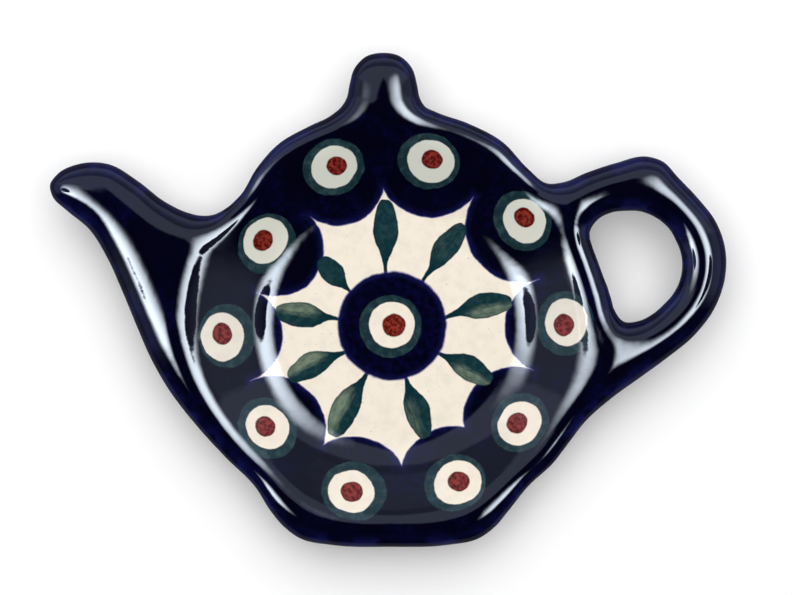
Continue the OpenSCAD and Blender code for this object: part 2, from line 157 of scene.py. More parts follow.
class TeaRestPainting(PropertyGroup):
    """Sizes and colours of the painting."""

    star_r: length("Star radius", "Radius of the circle through the points of the star", 28.19)
    eye_r: length("Eye circle", "Radius of the circle of the eye spots", 32.42)
    scallop_r: length("Scallop reach", "From an eye's centre to the edge of its scallop", 11.2)
    medallion_r: length("Medallion radius", "Radius of the blue disc in the centre", 10.65)
    cobalt: tint("Cobalt", "Thick cobalt glaze, nearly black", 3, 3, 19)
    cobalt_cloud: tint("Cobalt clouds", "Softly clouded places of the cobalt glaze", 10, 9, 54)
    cobalt_thin: tint("Thin cobalt", "Cobalt glaze where it has run thin", 26, 30, 92)
    cobalt_line: tint("Cobalt line", "Soft line where cobalt bleeds into cream", 62, 62, 150)
    cream: tint("Cream", "Clear glaze over the pale clay", 241, 231, 215)
    cream_cloud: tint("Cream clouds", "Slightly darker places of the cream", 232, 223, 208)
    # Painted shade: a darker, cooler cream for the spots up the well's north wall, which lies in
    # shade.
    cream_shaded: tint("Cool cream", "Spots of the upper eyes, dabbed thinner", 214, 216, 205)
    leaf_dark: tint("Leaf, full brush", "Leaf green where the brush was full", 8, 42, 49)
    leaf_mid: tint("Leaf, middle", "Leaf green in the middle of a stroke", 34, 62, 66)
    leaf_pale: tint("Leaf, dry brush", "Leaf green where the brush ran dry", 116, 132, 112)
    ring_dark: tint("Ring, full brush", "Ring green where the brush was full", 24, 48, 54)
    ring_pale: tint("Ring, dry brush", "Ring green where the brush ran dry", 62, 88, 90)
    rust: tint("Rust", "Red of the dots", 148, 58, 47)
    rust_dark: tint("Dark rust", "Red of the dots where it lies thick", 82, 14, 12)
    bare_clay: tint("Bare clay", "Unglazed clay of the foot ring", 205, 186, 160)
    clay_speck: tint("Clay specks", "Dark specks in the unglazed clay", 96, 74, 56)


class TeaRestStage(PropertyGroup):
    """Floor, camera and light."""

    floor_tint: tint("Floor", "Colour of the floor", 253, 253, 254)
    camera_h: length("Camera height", "Height of the camera above the table", 600)
    view_w: length("View width", "Width of the picture at the level of the clay", 154.6)
    view_x: length("View place X", "Sideways place of the middle of the picture", 1.73)
    view_y: length("View place Y", "Place of the middle of the picture, up the plan", 0.46)
    soft_light: level("Soft light", "Level of the broad light from above", 1.72)
    room_light: level("Room light", "Level of the light from all round", 0.4)
    gleam: level("Gleam", "Brightness of the two lamps seen in the glaze", 24)
    gleam_tint: light_tint("Gleam tint", "Colour of the two lamps", (0.8, 0.89, 1.0))
    wall_tint: light_tint("Wall tint", "Colour of the walls in the glaze", (0.64, 0.74, 1.0))


# ---------------------------------------------------------------------------------------------
# Plan of the teapot
# ---------------------------------------------------------------------------------------------

# Places along the outline, anticlockwise, as shares of each feature's width and height
HANDLE_SHARES = np.array([
    [0.05, -0.43], [0.28, -0.31], [0.51, -0.19], [0.73, -0.06], [0.9, 0.1],
    [0.99, 0.29], [0.99, 0.46], [0.91, 0.62], [0.765, 0.755], [0.6, 0.88],
    [0.48, 0.97], [0.35, 1], [0.085, 0.96], [-0.165, 0.9], [-0.33, 0.85],
])  # fmt: skip
KNOB_RIGHT_SHARES = np.array([
    [1.62, 0.02], [1.26, 0.12], [1.11, 0.26], [1.03, 0.47], [0.88, 0.74], [0.52, 0.94],
])  # fmt: skip
KNOB_LEFT_SHARES = np.concatenate([[[1.58, -0.03]], KNOB_RIGHT_SHARES[1:]])
SPOUT_TOP_SHARES = np.array([
    [-0.26, 0.79], [-0.16, 0.785], [-0.05, 0.81], [0.115, 0.885], [0.32, 1.03],
    [0.545, 1.15], [0.785, 1.15], [0.935, 1.085],
])  # fmt: skip
SPOUT_UNDER_SHARES = np.array([
    [0.08, -0.455], [0.215, -0.24], [0.33, 0], [0.44, 0.245], [0.555, 0.48],
    [0.705, 0.695], [0.87, 0.82], [0.98, 0.92],
])  # fmt: skip
BASE_SHARES = np.array([[1.24, 0.98], [1.11, 0.57], [0.94, 0.24], [0.6, 0.05]])
# Radii of the finger hole all round, as shares of its mean radius
HOLE_SHARES = [
    0.91, 0.9, 0.9, 0.94, 0.98, 1.03, 1.09, 1.14, 1.23, 1.29, 1.26, 1.05,
    0.91, 0.86, 0.87, 0.93, 1.15, 1.34, 1.27, 1.15, 1.05, 1, 0.96, 0.93,
]  # fmt: skip


def norms(points):
    """Length of each vector, kept as a column."""
    return np.linalg.norm(points, axis=-1, keepdims=True)


def around(radius, degrees, shares):
    """Points at angle a and at a share s of the radius: (r s cos a, r s sin a)."""
    turns = np.radians(np.asarray(degrees, float))
    reach = radius * np.asarray(shares, float)
    return np.stack([reach * np.cos(turns), reach * np.sin(turns)], -1)


def smooth_loop(line, steps):
    """Smooth closed curve through points.

    Each gap holds a cubic Hermite curve. Its end slopes are the two neighbouring chords, each
    weighted by the length of the other.
    """
    behind = line - np.roll(line, 1, 0)
    ahead = np.roll(line, -1, 0) - line
    near, far = norms(behind), norms(ahead)
    turn = (ahead / far * near + behind / near * far) / (near + far)
    follow, follow_turn = np.roll(line, -1, 0), np.roll(turn, -1, 0)
    t = (np.arange(steps) / steps)[None, :, None]
    gap = far[:, :, None]
    points = (
        line[:, None] * (2 * t**3 - 3 * t**2 + 1)
        + turn[:, None] * gap * (t**3 - 2 * t**2 + t)
        + follow[:, None] * (3 * t**2 - 2 * t**3)
        + follow_turn[:, None] * gap * (t**3 - t**2)
    )
    return points.reshape(-1, 2)


def edge_shares(rows):
    """Shares from an edge inwards, 1 - cos over a quarter turn, so that the edge has most rows."""
    return 1 - np.cos(np.linspace(0, pi / 2, rows + 1))


class Sheet(NamedTuple):
    """Rows of points of a skin, with what its mesh and its glaze need at each of them."""

    points: np.ndarray
    normals: np.ndarray
    clear: np.ndarray  # smooth distance from the edges in mm
    under: np.ndarray  # 1 on the underside, or else 0
    glazed: bool = True

    def flipped(self):
        """The same sheet with its rows in the other order, which turns its faces round."""
        return Sheet(*(part[::-1] for part in self[:4]), self.glazed)


class TeapotPlan:
    """Outline, finger hole, seams and heights of the rest, in mm about the centre of the well."""

    def __init__(self, sizes):
        size = self.size = in_millimetres(sizes, type(sizes).__annotations__)
        self.well_radii = (size.floor_r, size.wall_in_r, size.wall_out_r, size.shoulder_r)
        self.under_radii = (
            size.under_floor_r, size.under_in_r, size.under_out_r, size.under_rim_r,
        )  # fmt: skip
        line = self.outline_line()
        coarse = smooth_loop(line, COARSE_STEPS)
        low, high = coarse.min(0), coarse.max(0)
        self.middle = (low + high) / 2
        self.outline = np.clip(smooth_loop(line, FINE_STEPS), low, high)
        self.hole_centre = np.array([size.body_r + size.hole_out, size.hole_y])
        around_hole = np.arange(len(HOLE_SHARES)) * 360 / len(HOLE_SHARES)
        hole_line = self.hole_centre + around(size.hole_r, around_hole, HOLE_SHARES)
        self.hole_loop = smooth_loop(hole_line, FINE_STEPS)
        edge, bow = self.outline, size.seam_bow
        self.handle_seam = self.seam(edge[0], edge[self.at_valley], bow)
        self.knob_seam = self.seam(edge[self.at_knob], edge[self.at_knob_end], bow)
        self.spout_seam = self.seam(edge[self.at_spout], edge[self.at_root], bow / 2)
        self.handle_loop = np.concatenate(
            [self.stretch(0, self.at_valley), self.handle_seam[-2:0:-1]]
        )
        self.hole_outline = self.hole_edge(self.handle_loop)
        self.walls = np.concatenate(
            [self.wall_list(self.outline), self.wall_list(self.hole_outline)]
        )

    def outline_line(self):
        """Points of the outline, anticlockwise from the handle's root, and the seams' places."""
        size = self.size
        body, handle_size = np.array([size.body_r, 0]), [size.handle_out, size.handle_top]
        knob_from = np.array([size.knob_x, size.body_r])
        knob_size = np.array([size.knob_w / 2, size.knob_out])
        mirror = np.array([-1, 1])
        spout_size = np.array([-size.spout_out, size.spout_lift])
        base_from = np.array([size.base_x, -size.body_r - size.base_out])
        base_size = np.array([size.base_w / 2, size.base_turn])
        parts = [
            around(size.body_r, [-26.5], [1.013]),
            body + HANDLE_SHARES * handle_size,
            around(size.body_r, [42.7], [0.99]),
            around(size.body_r, [49, 59, 69.5], [0.978, 1.01, 1.018]),
            knob_from + knob_size * KNOB_RIGHT_SHARES,
            knob_from + [[0, size.knob_out]],
            knob_from + knob_size * mirror * KNOB_LEFT_SHARES[::-1],
            around(size.body_r, [112.5, 121.5, 131, 139], [1.017, 1.01, 0.976, 0.942]),
            around(size.body_r, [145.9], [0.966]),
            -body + spout_size * SPOUT_TOP_SHARES,
            -body + spout_size[None],
            -body + spout_size * SPOUT_UNDER_SHARES[::-1],
            around(size.body_r, [205], [1.041]),
            around(size.body_r, [209.5, 218.5, 229.5], [1.022, 0.997, 0.993]),
            base_from + base_size * mirror * BASE_SHARES,
            base_from[None],
            base_from + base_size * BASE_SHARES[::-1],
            around(size.body_r, [310.5, 319.5, 327], [0.989, 0.995, 0.997]),
        ]
        starts = np.cumsum([0] + [len(part) for part in parts]) * FINE_STEPS
        self.at_valley, self.at_knob, self.at_knob_top = starts[2], starts[4], starts[5]
        self.at_knob_end = starts[7] - FINE_STEPS
        self.at_spout, self.at_tip, self.at_root = starts[8], starts[10], starts[12]
        return np.concatenate(parts)

    def stretch(self, first, last):
        """Points of the outline from one place to another, both with them."""
        return self.outline[np.arange(first, last + 1) % len(self.outline)]

    def across(self, start, middle, end):
        """Rows of points from one edge over a middle to the other edge.

        A point at share s lies s (near + (width - near) s) in from its edge, so that most points
        are near the two edges, where the clay is round. near is at most the rolled edge's width.
        """
        shares = edge_shares(EDGE_ROWS)[None, :, None]
        halves = []
        for edge in (start, end):
            width = norms(middle - edge)
            near = np.minimum(width, self.size.roll_w)
            inwards = shares * (near[:, None] + (width - near)[:, None] * shares)
            halves.append(edge[:, None] + ((middle - edge) / width)[:, None] * inwards)
        return np.concatenate([halves[0], halves[1][:, -2::-1]], 1)

    def seam(self, a, b, bow):
        """Seam from a to b round the well: its radius and angle go evenly from a's to b's.

        The radius is less by a parabola that is bow deep in the middle.
        """
        start = np.arctan2(a[1], a[0])
        sweep = (np.arctan2(b[1], b[0]) - start) % (2 * pi)
        row = self.across(a[None], ((a + b) / 2)[None], b[None])[0]
        t = np.linalg.norm(row - a, axis=1) / np.linalg.norm(b - a)
        radius = np.hypot(*a) + (np.hypot(*b) - np.hypot(*a)) * t - bow * 4 * t * (1 - t)
        angle = start + sweep * t
        line = radius[:, None] * np.stack([np.cos(angle), np.sin(angle)], -1)
        line[0], line[-1] = a, b
        return line

    def hole_edge(self, points):
        """The finger hole's edge in the direction of each point from the hole's centre."""
        away = points - self.hole_centre
        turn = np.arctan2(away[:, 1], away[:, 0]) % (2 * pi) / (2 * pi) * len(self.hole_loop)
        low = np.floor(turn).astype(int) % len(self.hole_loop)
        high = (low + 1) % len(self.hole_loop)
        share = (turn - np.floor(turn))[:, None]
        return self.hole_loop[low] + (self.hole_loop[high] - self.hole_loop[low]) * share

    @staticmethod
    def wall_list(loop):
        """Each side of a loop as start, direction and length."""
        gap = np.roll(loop, -1, 0) - loop
        return np.concatenate([loop, gap / norms(gap), norms(gap)], 1)

    def clearance(self, points):
        """Smooth distance from all edges, and its gradient.

        Every side pulls with the integral of 1 / distance^3 along it. The clearance is the root
        of 2 over the sum of all pulls, which is the plain distance beside a single long side.
        """
        clear = np.empty(len(points))
        slope = np.empty((len(points), 2))
        start, along_side, side = self.walls[:, :2], self.walls[:, 2:4], self.walls[:, 4]
        for first in range(0, len(points), BATCH):
            some = slice(first, first + BATCH)
            away = points[some, None] - start
            along = (away * along_side).sum(-1)
            sideways = away - along[..., None] * along_side
            off = np.maximum((sideways**2).sum(-1), 1e-8)
            rest = side - along
            far_a, far_b = off + along**2, off + rest**2
            ends = rest / np.sqrt(far_b) + along / np.sqrt(far_a)
            pull = (ends / off).sum(1)
            by_off = -(rest / far_b**1.5 + along / far_a**1.5) / 2 / off - ends / off**2
            by_along = far_a**-1.5 - far_b**-1.5
            change = 2 * by_off[..., None] * sideways + by_along[..., None] * along_side
            clear[some] = np.sqrt(2 / pull)
            slope[some] = -(clear[some] / (2 * pull))[:, None] * change.sum(1)
        return clear, slope

    @staticmethod
    def steepness(radii, depth):
        """Slope of the straight part of a dished surface between its two parabolas."""
        r1, r2, r3, r4 = radii
        return depth / ((r2 - r1) / 2 + r3 - r2 + (r4 - r3) / 2)

    def fall(self, r, radii, depth):
        """Fall of a dished surface below its level rim, and its change with the radius.

        Level, then a parabola, a straight slope, a parabola and level again.
        """
        r1, r2, r3, r4 = radii
        steep = self.steepness(radii, depth)
        cases = [r <= r1, r < r2, r < r3, r < r4]
        falls = [
            depth + 0 * r,
            depth - steep * (r - r1) ** 2 / (r2 - r1) / 2,
            steep * (r3 - r + (r4 - r3) / 2),
            steep * (r4 - r) ** 2 / (r4 - r3) / 2,
        ]
        toe, shoulder = (r - r1) / (r2 - r1), (r4 - r) / (r4 - r3)
        changes = [0 * r, -steep * toe, -steep + 0 * r, -steep * shoulder]
        return np.select(cases, falls, 0), np.select(cases, changes, 0)

    def sheet(self, points, on_edge, upper):
        """Heights and normals of the glazed top or of the underside over rows of plan points.

        The top is H sqrt(1 - ((w - c) / w)^2) above the parting line. c is the clearance, w the
        width of the rolled edge, and H the height of the top less the fall of the well. The
        underside is the same below the parting line, with the tuck's sizes and the bowl's fall.
        """
        size = self.size
        flat = points.reshape(-1, 2)
        edge = on_edge.reshape(-1)
        step = np.empty_like(points)
        step[:, :-1] = points[:, 1:] - points[:, :-1]
        step[:, -1] = points[:, -2] - points[:, -1]
        step = (step / np.maximum(norms(step), 1e-9)).reshape(-1, 2) * HAIR
        clear, slope = self.clearance(flat + step * edge[:, None])
        slope /= np.where(edge[:, None], np.maximum(norms(slope), 1e-9), 1)
        clear = np.where(edge, 0, clear)
        r = np.maximum(np.linalg.norm(flat, axis=1), 1e-9)
        clear = np.where(r < size.wall_in_r, np.maximum(clear, size.roll_w), clear)
        if upper:
            drop, change = self.fall(r, self.well_radii, size.well_depth)
            height, grow, wide, sign = size.roll_h - drop, -change, size.roll_w, 1
        else:
            rise = size.rim_h - size.roll_h - size.tuck_h - size.foot_h
            drop, change = self.fall(r, self.under_radii, rise)
            height, grow, wide, sign = size.tuck_h + drop, change, size.tuck_w, -1
        short = np.clip((wide - clear) / wide, 0, 1)
        round_share = np.sqrt(1 - short**2)
        part_z = size.rim_h - size.roll_h
        z = part_z + sign * height * round_share
        outwards = flat / r[:, None]
        lean = (round_share**2 * grow)[:, None] * outwards
        lean += (height * short / wide)[:, None] * slope
        normal = np.concatenate([-lean, sign * round_share[:, None]], 1)
        normal /= np.maximum(norms(normal), 1e-9)
        shape = points.shape[:2]
        clear = clear.reshape(shape)
        return Sheet(
            np.concatenate([flat, z[:, None]], 1).reshape(*shape, 3),
            normal.reshape(*shape, 3),
            clear,
            (0.0 if upper else 1.0) * (clear > 0),
        )

    def both_sheets(self, points, on_edge):
        """The glazed top over rows of points, and the underside."""
        return self.sheet(points, on_edge, True), self.sheet(points, on_edge, False)

    def seam_wall(self, line):
        """Wall along a seam, from the glazed top straight down to the underside."""
        ends = np.zeros((1, len(line)), bool)
        ends[0, [0, -1]] = True
        top, under = self.both_sheets(line[None], ends)
        return Sheet(*(np.concatenate(pair) for pair in zip(top[:4], under[:4])), glazed=False)


def body_sheets(plan):
    """Round body: rays from its loop in to the centre of the well, above and below."""
    parts = [
        (plan.handle_seam[1:-1], False),
        (plan.stretch(plan.at_valley, plan.at_knob), True),
        (plan.knob_seam[1:-1], False),
        (plan.stretch(plan.at_knob_end, plan.at_spout), True),
        (plan.spout_seam[1:-1], False),
        (plan.stretch(plan.at_root, len(plan.outline)), True),
        (plan.handle_seam[1:2], False),
    ]
    loop = np.concatenate([points for points, _ in parts])
    open_edge = np.concatenate([np.full(len(points), edge) for points, edge in parts])
    r = norms(loop)
    sheets = []
    for upper, (floor_r, in_r, out_r, _) in ((True, plan.well_radii), (False, plan.under_radii)):
        rim = r - (r - out_r) * edge_shares(EDGE_ROWS)
        slope = np.linspace(out_r, in_r, SLOPE_ROWS + 1)[1:]
        toe = np.linspace(in_r, floor_r, TOE_ROWS + 1)[1:]
        floor = np.linspace(floor_r, 0, FLOOR_ROWS + 1)[1:]
        inwards = np.tile(np.concatenate([slope, toe, floor]), (len(loop), 1))
        rays = (loop / r)[:, None] * np.concatenate([rim, inwards], 1)[..., None]
        rays[:, 0] = loop
        on_edge = np.zeros(rays.shape[:2], bool)
        on_edge[:, 0] = open_edge
        sheets.append(plan.sheet(rays, on_edge, upper))
    walls = [plan.seam_wall(line) for line in (plan.handle_seam, plan.knob_seam, plan.spout_seam)]
    return [sheets[0], sheets[1].flipped(), *walls]


def tongue_sheets(plan, first, last, seam_line, hub, bent):
    """Spout or knob: rows across it from the seam to its rounded end.

    From outline point hub on, the rows turn round one place. Up to point bent each row is drawn
    towards the seam's own curve, by a share that fades as the square of the rows that are left.
    """
    rows = np.arange(len(first)) / FINE_STEPS
    middle = (first + last) / 2
    middle[hub * FINE_STEPS :] = middle[hub * FINE_STEPS]
    lines = plan.across(first, middle, last)
    fade = np.clip(1 - rows / bent, 0, 1) ** 2
    lines = lines + (seam_line - lines[0])[None] * fade[:, None, None]
    on_edge = np.zeros(lines.shape[:2], bool)
    on_edge[:, [0, -1]] = True
    top, under = plan.both_sheets(lines, on_edge)
    return [top, under.flipped(), plan.seam_wall(seam_line).flipped()]


def spout_sheets(plan):
    """Spout, from its seam with the body out to the tip."""
    first = plan.stretch(plan.at_spout, plan.at_tip)
    last = plan.stretch(plan.at_tip, plan.at_root)[::-1]
    return tongue_sheets(plan, first, last, plan.spout_seam, hub=7, bent=4)


def knob_sheets(plan):
    """Lid knob, from its seam with the body out to its rounded top."""
    first = plan.stretch(plan.at_knob, plan.at_knob_top)
    last = plan.stretch(plan.at_knob_top, plan.at_knob_end)[::-1]
    return tongue_sheets(plan, first, last, plan.knob_seam, hub=3, bent=2)


def handle_sheets(plan):
    """Handle: rays from its outer loop in to the finger hole, above and below."""
    outer = np.concatenate([plan.handle_loop, plan.handle_loop[:1]])
    inner = np.concatenate([plan.hole_outline, plan.hole_outline[:1]])
    rows = plan.across(outer, (outer + inner) / 2, inner)
    on_edge = np.zeros(rows.shape[:2], bool)
    on_edge[:, -1] = True
    on_edge[: plan.at_valley + 1, 0] = True
    on_edge[-1, 0] = True
    top, under = plan.both_sheets(rows, on_edge)
    return [top, under.flipped(), plan.seam_wall(plan.handle_seam).flipped()]


def foot_sheets(plan):
    """Foot ring: a profile with softly worn lower corners, turned round the well's centre.

    The profile's point at turn t is the middle plus half the ring's width and height, each times
    the cosine or sine of t to a low power with its sign kept, which makes a rounded box. Its
    sides lean outwards by the slant as they rise.
    """
    size = plan.size
    turn = np.append(np.linspace(0, 2 * pi, FOOT_POINTS, endpoint=False), 0)
    out, up = (
        np.sign(f(turn).round(9)) * np.abs(f(turn)) ** FOOT_ROUND for f in (np.cos, np.sin)
    )
    half_w = size.foot_w / 2 + size.foot_slant * (up + 1) / 2
    radius = size.foot_r - size.foot_w / 2 + half_w * out
    height = size.foot_h / 2 * (1 + up)
    angle = np.append(np.linspace(0, 2 * pi, FOOT_TURNS, endpoint=False), 0)[:, None]
    points, normals = (
        np.stack([across * np.cos(angle), across * np.sin(angle), along + 0 * angle], -1)
        for across, along in ((radius, height), (out, up))
    )
    shape = points.shape[:2]
    return [Sheet(points, normals, np.full(shape, FAR), np.ones(shape), glazed=False)]


# ---------------------------------------------------------------------------------------------
# Meshes
# ---------------------------------------------------------------------------------------------


def sheet_faces(shape, start):
    """Two triangles for each cell of a grid, in the order that faces out of the clay."""
    rows, across = shape
    at = start + np.arange(rows - 1)[:, None] * across + np.arange(across - 1)
    a, b, c, d = at, at + 1, at + across + 1, at + across
    return np.stack([np.stack([a, c, b], -1), np.stack([a, d, c], -1)]).reshape(-1, 3)


def check_closed(name, faces):
    """Stops the script if a piece has an open or doubled edge."""
    sides = np.concatenate([faces[:, [0, 1]], faces[:, [1, 2]], faces[:, [2, 0]]])
    codes = sides[:, 0] * (faces.max() + 1) + sides[:, 1]
    back = sides[:, 1] * (faces.max() + 1) + sides[:, 0]
    doubled = len(np.unique(codes)) != len(codes)
    if doubled or not np.array_equal(np.sort(codes), np.sort(back)):
        raise RuntimeError(f"{name} isn't closed")


def make_piece(name, plan, sheets, material, nodes):
    """Joins sheets where they meet and makes one closed piece that stands for CAD nodes."""
    shapes = [sheet.clear.shape for sheet in sheets]
    starts = np.cumsum([0] + [rows * across for rows, across in shapes])
    points, normals, clear, under = (
        np.concatenate([part.reshape(-1, *part.shape[2:]) for part in parts])
        for parts in list(zip(*sheets))[:4]
    )
    parts = [sheet_faces(shape, start) for shape, start in zip(shapes, starts)]
    faces = np.concatenate(parts)
    glazed = np.repeat([sheet.glazed for sheet in sheets], [len(part) for part in parts])
    keys = np.round(points / MERGE).astype(np.int64)
    _, kept, index = np.unique(keys, axis=0, return_index=True, return_inverse=True)
    corners = index.reshape(-1)[faces]
    whole = (corners != np.roll(corners, 1, 1)).all(1)
    faces, corners, glazed = faces[whole], corners[whole], glazed[whole]
    check_closed(name, corners)
    place = np.append(-plan.middle, 0)
    mesh = bpy.data.meshes.new(name)
    mesh.from_pydata(((points[kept] + place) * MM).tolist(), [], corners.tolist())
    mesh.polygons.foreach_set("use_smooth", np.ones(len(corners), bool))
    a, b, c = (points[faces[:, k]] for k in range(3))
    flat = np.cross(b - a, c - a)
    flat /= np.maximum(norms(flat), 1e-12)
    loops = np.where(glazed[:, None, None], normals[faces], flat[:, None])
    if glazed.any():
        mesh.normals_split_custom_set(loops.reshape(-1, 3).tolist())
    for label, values in (("edge_distance", clear), ("underside", under)):
        layer = mesh.attributes.new(label, "FLOAT", "POINT")
        layer.data.foreach_set("value", values[kept].astype(np.float32))
    mesh.materials.append(material)
    mesh.update()
    piece = bpy.data.objects.new(name, mesh)
    bpy.context.scene.collection.objects.link(piece)
    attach(piece, "root")
    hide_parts(*nodes)
    return piece


# ---------------------------------------------------------------------------------------------
# Glazes and painting
# ---------------------------------------------------------------------------------------------

# Places all round in degrees, and radii as shares of the settings, of the eyes, of the star's
# points and of the reach of the scallops that stand before the eyes
EYE_ANGLES = [182.4, 218.8, 256.6, 293.5, 322.4, 359.7, 398.3, 436.8, 469.4, 506.2]
EYE_SHARES = [1.02, 0.97, 1.012, 1.02, 0.957, 1.03, 1.025, 1.022, 1.01, 0.93]
STAR_ANGLES = [201.1, 240.2, 274.1, 305.4, 342.3, 377.6, 417.7, 453.8, 486.6, 526.2]
STAR_SHARES = [1.04, 0.955, 0.97, 0.865, 1.015, 1.06, 1.045, 0.95, 0.935, 0.96]
SCALLOP_SHARES = [1.03, 0.96, 0.915, 0.985, 0.985, 1.01, 1.095, 0.98, 1.005, 1.09]

# One row for each eye, the last in the centre: shifts in mm of ring, spot and dot from the eye's
# own place, and their radii across the wall's slope.
EYE_DABS = [
    ((0.9, -0.5), 6.2, (0.1, -0.7), 4.7, (0.0, -0.1), 2.15),
    ((0.3, -0.2), 6.2, (0.3, 0.0), 4.5, (-0.2, 0.1), 2.1),
    ((0.2, -0.2), 6.4, (-0.3, -0.3), 4.55, (-0.2, -0.3), 2.2),
    ((-0.9, -0.2), 6.15, (-0.4, -0.1), 4.75, (-0.2, 0.1), 2.15),
    ((0.3, 0.1), 6.05, (0.3, 0.0), 4.55, (-0.2, 0.0), 2.15),
    ((0.3, 0.6), 6.3, (0.5, 0.9), 4.65, (0.0, 0.4), 2.2),
    ((-0.7, -0.1), 6.1, (-0.3, -0.1), 4.5, (-0.3, 0.5), 2.05),
    ((-0.4, -0.2), 6.1, (0.0, -0.2), 4.65, (0.2, 0.1), 2.1),
    ((-0.5, 0.0), 6.1, (-0.4, 0.1), 4.55, (0.1, 0.3), 2.05),
    ((0.6, -0.7), 6.1, (0.4, -0.1), 4.65, (-0.1, -0.1), 2.1),
    ((-0.3, -0.1), 6.15, (0.0, 0.2), 4.55, (0.4, 0.1), 2.3),
]

# One row for each leaf: radius and angle of its foot and of its end, its width and its bend to
# the left in mm, and how dry the brush ran on its left and right side.
LEAVES = [
    ((10.4, 8.6), (23.9, 11.6), 5.1, 0.55, 0.1, 0.85),
    ((10.6, 55.6), (24.3, 54.6), 4.7, 0.2, 0.45, 0.4),
    ((10.2, 97.6), (24.8, 93.0), 4.9, -0.1, 0.3, 0.35),
    ((10.3, 140.2), (19.3, 136.6), 4.4, 0.2, 0.1, 0.25),
    ((10.2, 172.4), (23.0, 173.2), 5.1, 0.0, 0.2, 0.9),
    ((9.9, 210.2), (22.8, 207.0), 5.0, -0.6, 0.15, 1.0),
    ((9.8, 243.4), (24.6, 241.6), 5.4, -0.5, 0.3, 1.0),
    ((9.7, 283.6), (22.9, 286.8), 5.0, 0.1, 0.35, 0.6),
    ((9.8, 329.6), (22.4, 330.6), 4.8, 0.3, 0.05, 0.85),
]
# Half width of a leaf along its stroke, both as shares: a thin stalk, a belly and a blunt point
LEAF_WIDTHS = [
    (0.0, 0.14), (0.13, 0.19), (0.32, 0.57), (0.45, 0.88), (0.58, 1.0), (0.7, 0.95),
    (0.84, 0.77), (0.94, 0.56), (1.0, 0.25),
]  # fmt: skip
STALK = 0.3  # how far a leaf begins before its foot, in mm
STAR_LIMIT = 1.09  # outermost cream as a share of the star's radius
PLUG_R, PLUG_GAP = 6.0, 0.3  # radius of the plug beyond a point of the star, and its gap, in mm
SWELL, RIPPLE, SPOT_RISE = 0.05, 0.0035, 0.012  # heights in the glaze in mm
GRAIN = 0.03  # height of the bare clay's grain in mm
RUBBED = 0.72  # brightness of the clay where it is rubbed, as a share


class Board:
    """Adds shader nodes to one tree, in tidy rows, and links them."""

    def __init__(self, tree):
        self.tree = tree
        self.count = 0

    def add(self, kind, **settings):
        """Adds a node in the next place."""
        node = self.tree.nodes.new(kind)
        node.location = (200 * (self.count % 16), -280 * (self.count // 16))
        self.count += 1
        for name, value in settings.items():
            setattr(node, name, value)
        return node

    def feed(self, socket, value):
        """Links an output to a socket, or writes a value on it."""
        if isinstance(value, bpy.types.NodeSocket):
            self.tree.links.new(value, socket)
        elif socket.type == "RGBA":
            socket.default_value = (*value[:3], 1)
        else:
            socket.default_value = value

    def work(self, kind, values, **settings):
        """Adds a node, feeds its first sockets and gives its outputs."""
        node = self.add(kind, **settings)
        for socket, value in zip(node.inputs, values):
            self.feed(socket, value)
        return node.outputs

    def number(self, operation, *values, clamp=False):
        """A Math node."""
        return self.work("ShaderNodeMath", values, operation=operation, use_clamp=clamp)[0]

    def times(self, *values, clamp=False):
        """The product of two numbers."""
        return self.number("MULTIPLY", *values, clamp=clamp)

    def vector(self, operation, *values):
        """A Vector Math node that gives a vector."""
        return self.work("ShaderNodeVectorMath", values, operation=operation)["Vector"]

    def measure(self, operation, *values):
        """A Vector Math node that gives a number."""
        return self.work("ShaderNodeVectorMath", values, operation=operation)["Value"]

    def join(self, *values):
        """A vector made of three numbers."""
        return self.work("ShaderNodeCombineXYZ", values)[0]

    def parts(self, vector):
        """The three numbers of a vector."""
        return self.work("ShaderNodeSeparateXYZ", [vector])

    def turned(self, point, place, turn):
        """A point seen from a place whose X axis has turned about Z."""
        away = self.vector("SUBTRACT", point, place)
        node = self.add("ShaderNodeVectorRotate", rotation_type="Z_AXIS")
        self.feed(node.inputs["Vector"], away)
        self.feed(node.inputs["Angle"], self.times(turn, -1.0))
        return node.outputs[0]

    def step(self, value, low, high, to_low=0, to_high=1):
        """A soft step from to_low at low to to_high at high."""
        values = (value, low, high, to_low, to_high)
        return self.work("ShaderNodeMapRange", values, interpolation_type="SMOOTHSTEP")[0]

    def mix(self, kind, share, low, high):
        """Goes from one value to another by a share. Each kind of value has its own sockets."""
        first, second, out = {"FLOAT": (2, 3, 0), "VECTOR": (4, 5, 1), "RGBA": (6, 7, 2)}[kind]
        node = self.add("ShaderNodeMix", data_type=kind)
        for at, value in ((0, share), (first, low), (second, high)):
            self.feed(node.inputs[at], value)
        return node.outputs[out]

    def paint(self, share, ground, colour):
        """Lays a colour over the ground by a share."""
        return self.mix("RGBA", share, ground, colour)

    def noise(self, point, scale, detail=2.0, rough=0.5, colour=False):
        """Noise with a scale per millimetre."""
        node = self.add("ShaderNodeTexNoise")
        self.feed(node.inputs["Vector"], point)
        for name, value in (("Scale", scale), ("Detail", detail), ("Roughness", rough)):
            self.feed(node.inputs[name], value)
        return node.outputs["Color" if colour else "Fac"]

    def place(self, group, **values):
        """A node group with its inputs set by name, with spaces for underscores."""
        node = self.add("ShaderNodeGroup", node_tree=group)
        node.label = group.name
        for name, value in values.items():
            self.feed(node.inputs[name.replace("_", " ").capitalize()], value)
        return node.outputs


def new_group(name, inputs, outputs):
    """An empty node group with named sockets, its board, its inputs and its output node."""
    group = bpy.data.node_groups.new(name, "ShaderNodeTree")
    for label, kind in inputs.items():
        group.interface.new_socket(name=label, in_out="INPUT", socket_type=f"NodeSocket{kind}")
    for label, kind in outputs.items():
        group.interface.new_socket(name=label, in_out="OUTPUT", socket_type=f"NodeSocket{kind}")
    board = Board(group)
    return group, board, board.add("NodeGroupInput").outputs, board.add("NodeGroupOutput").inputs


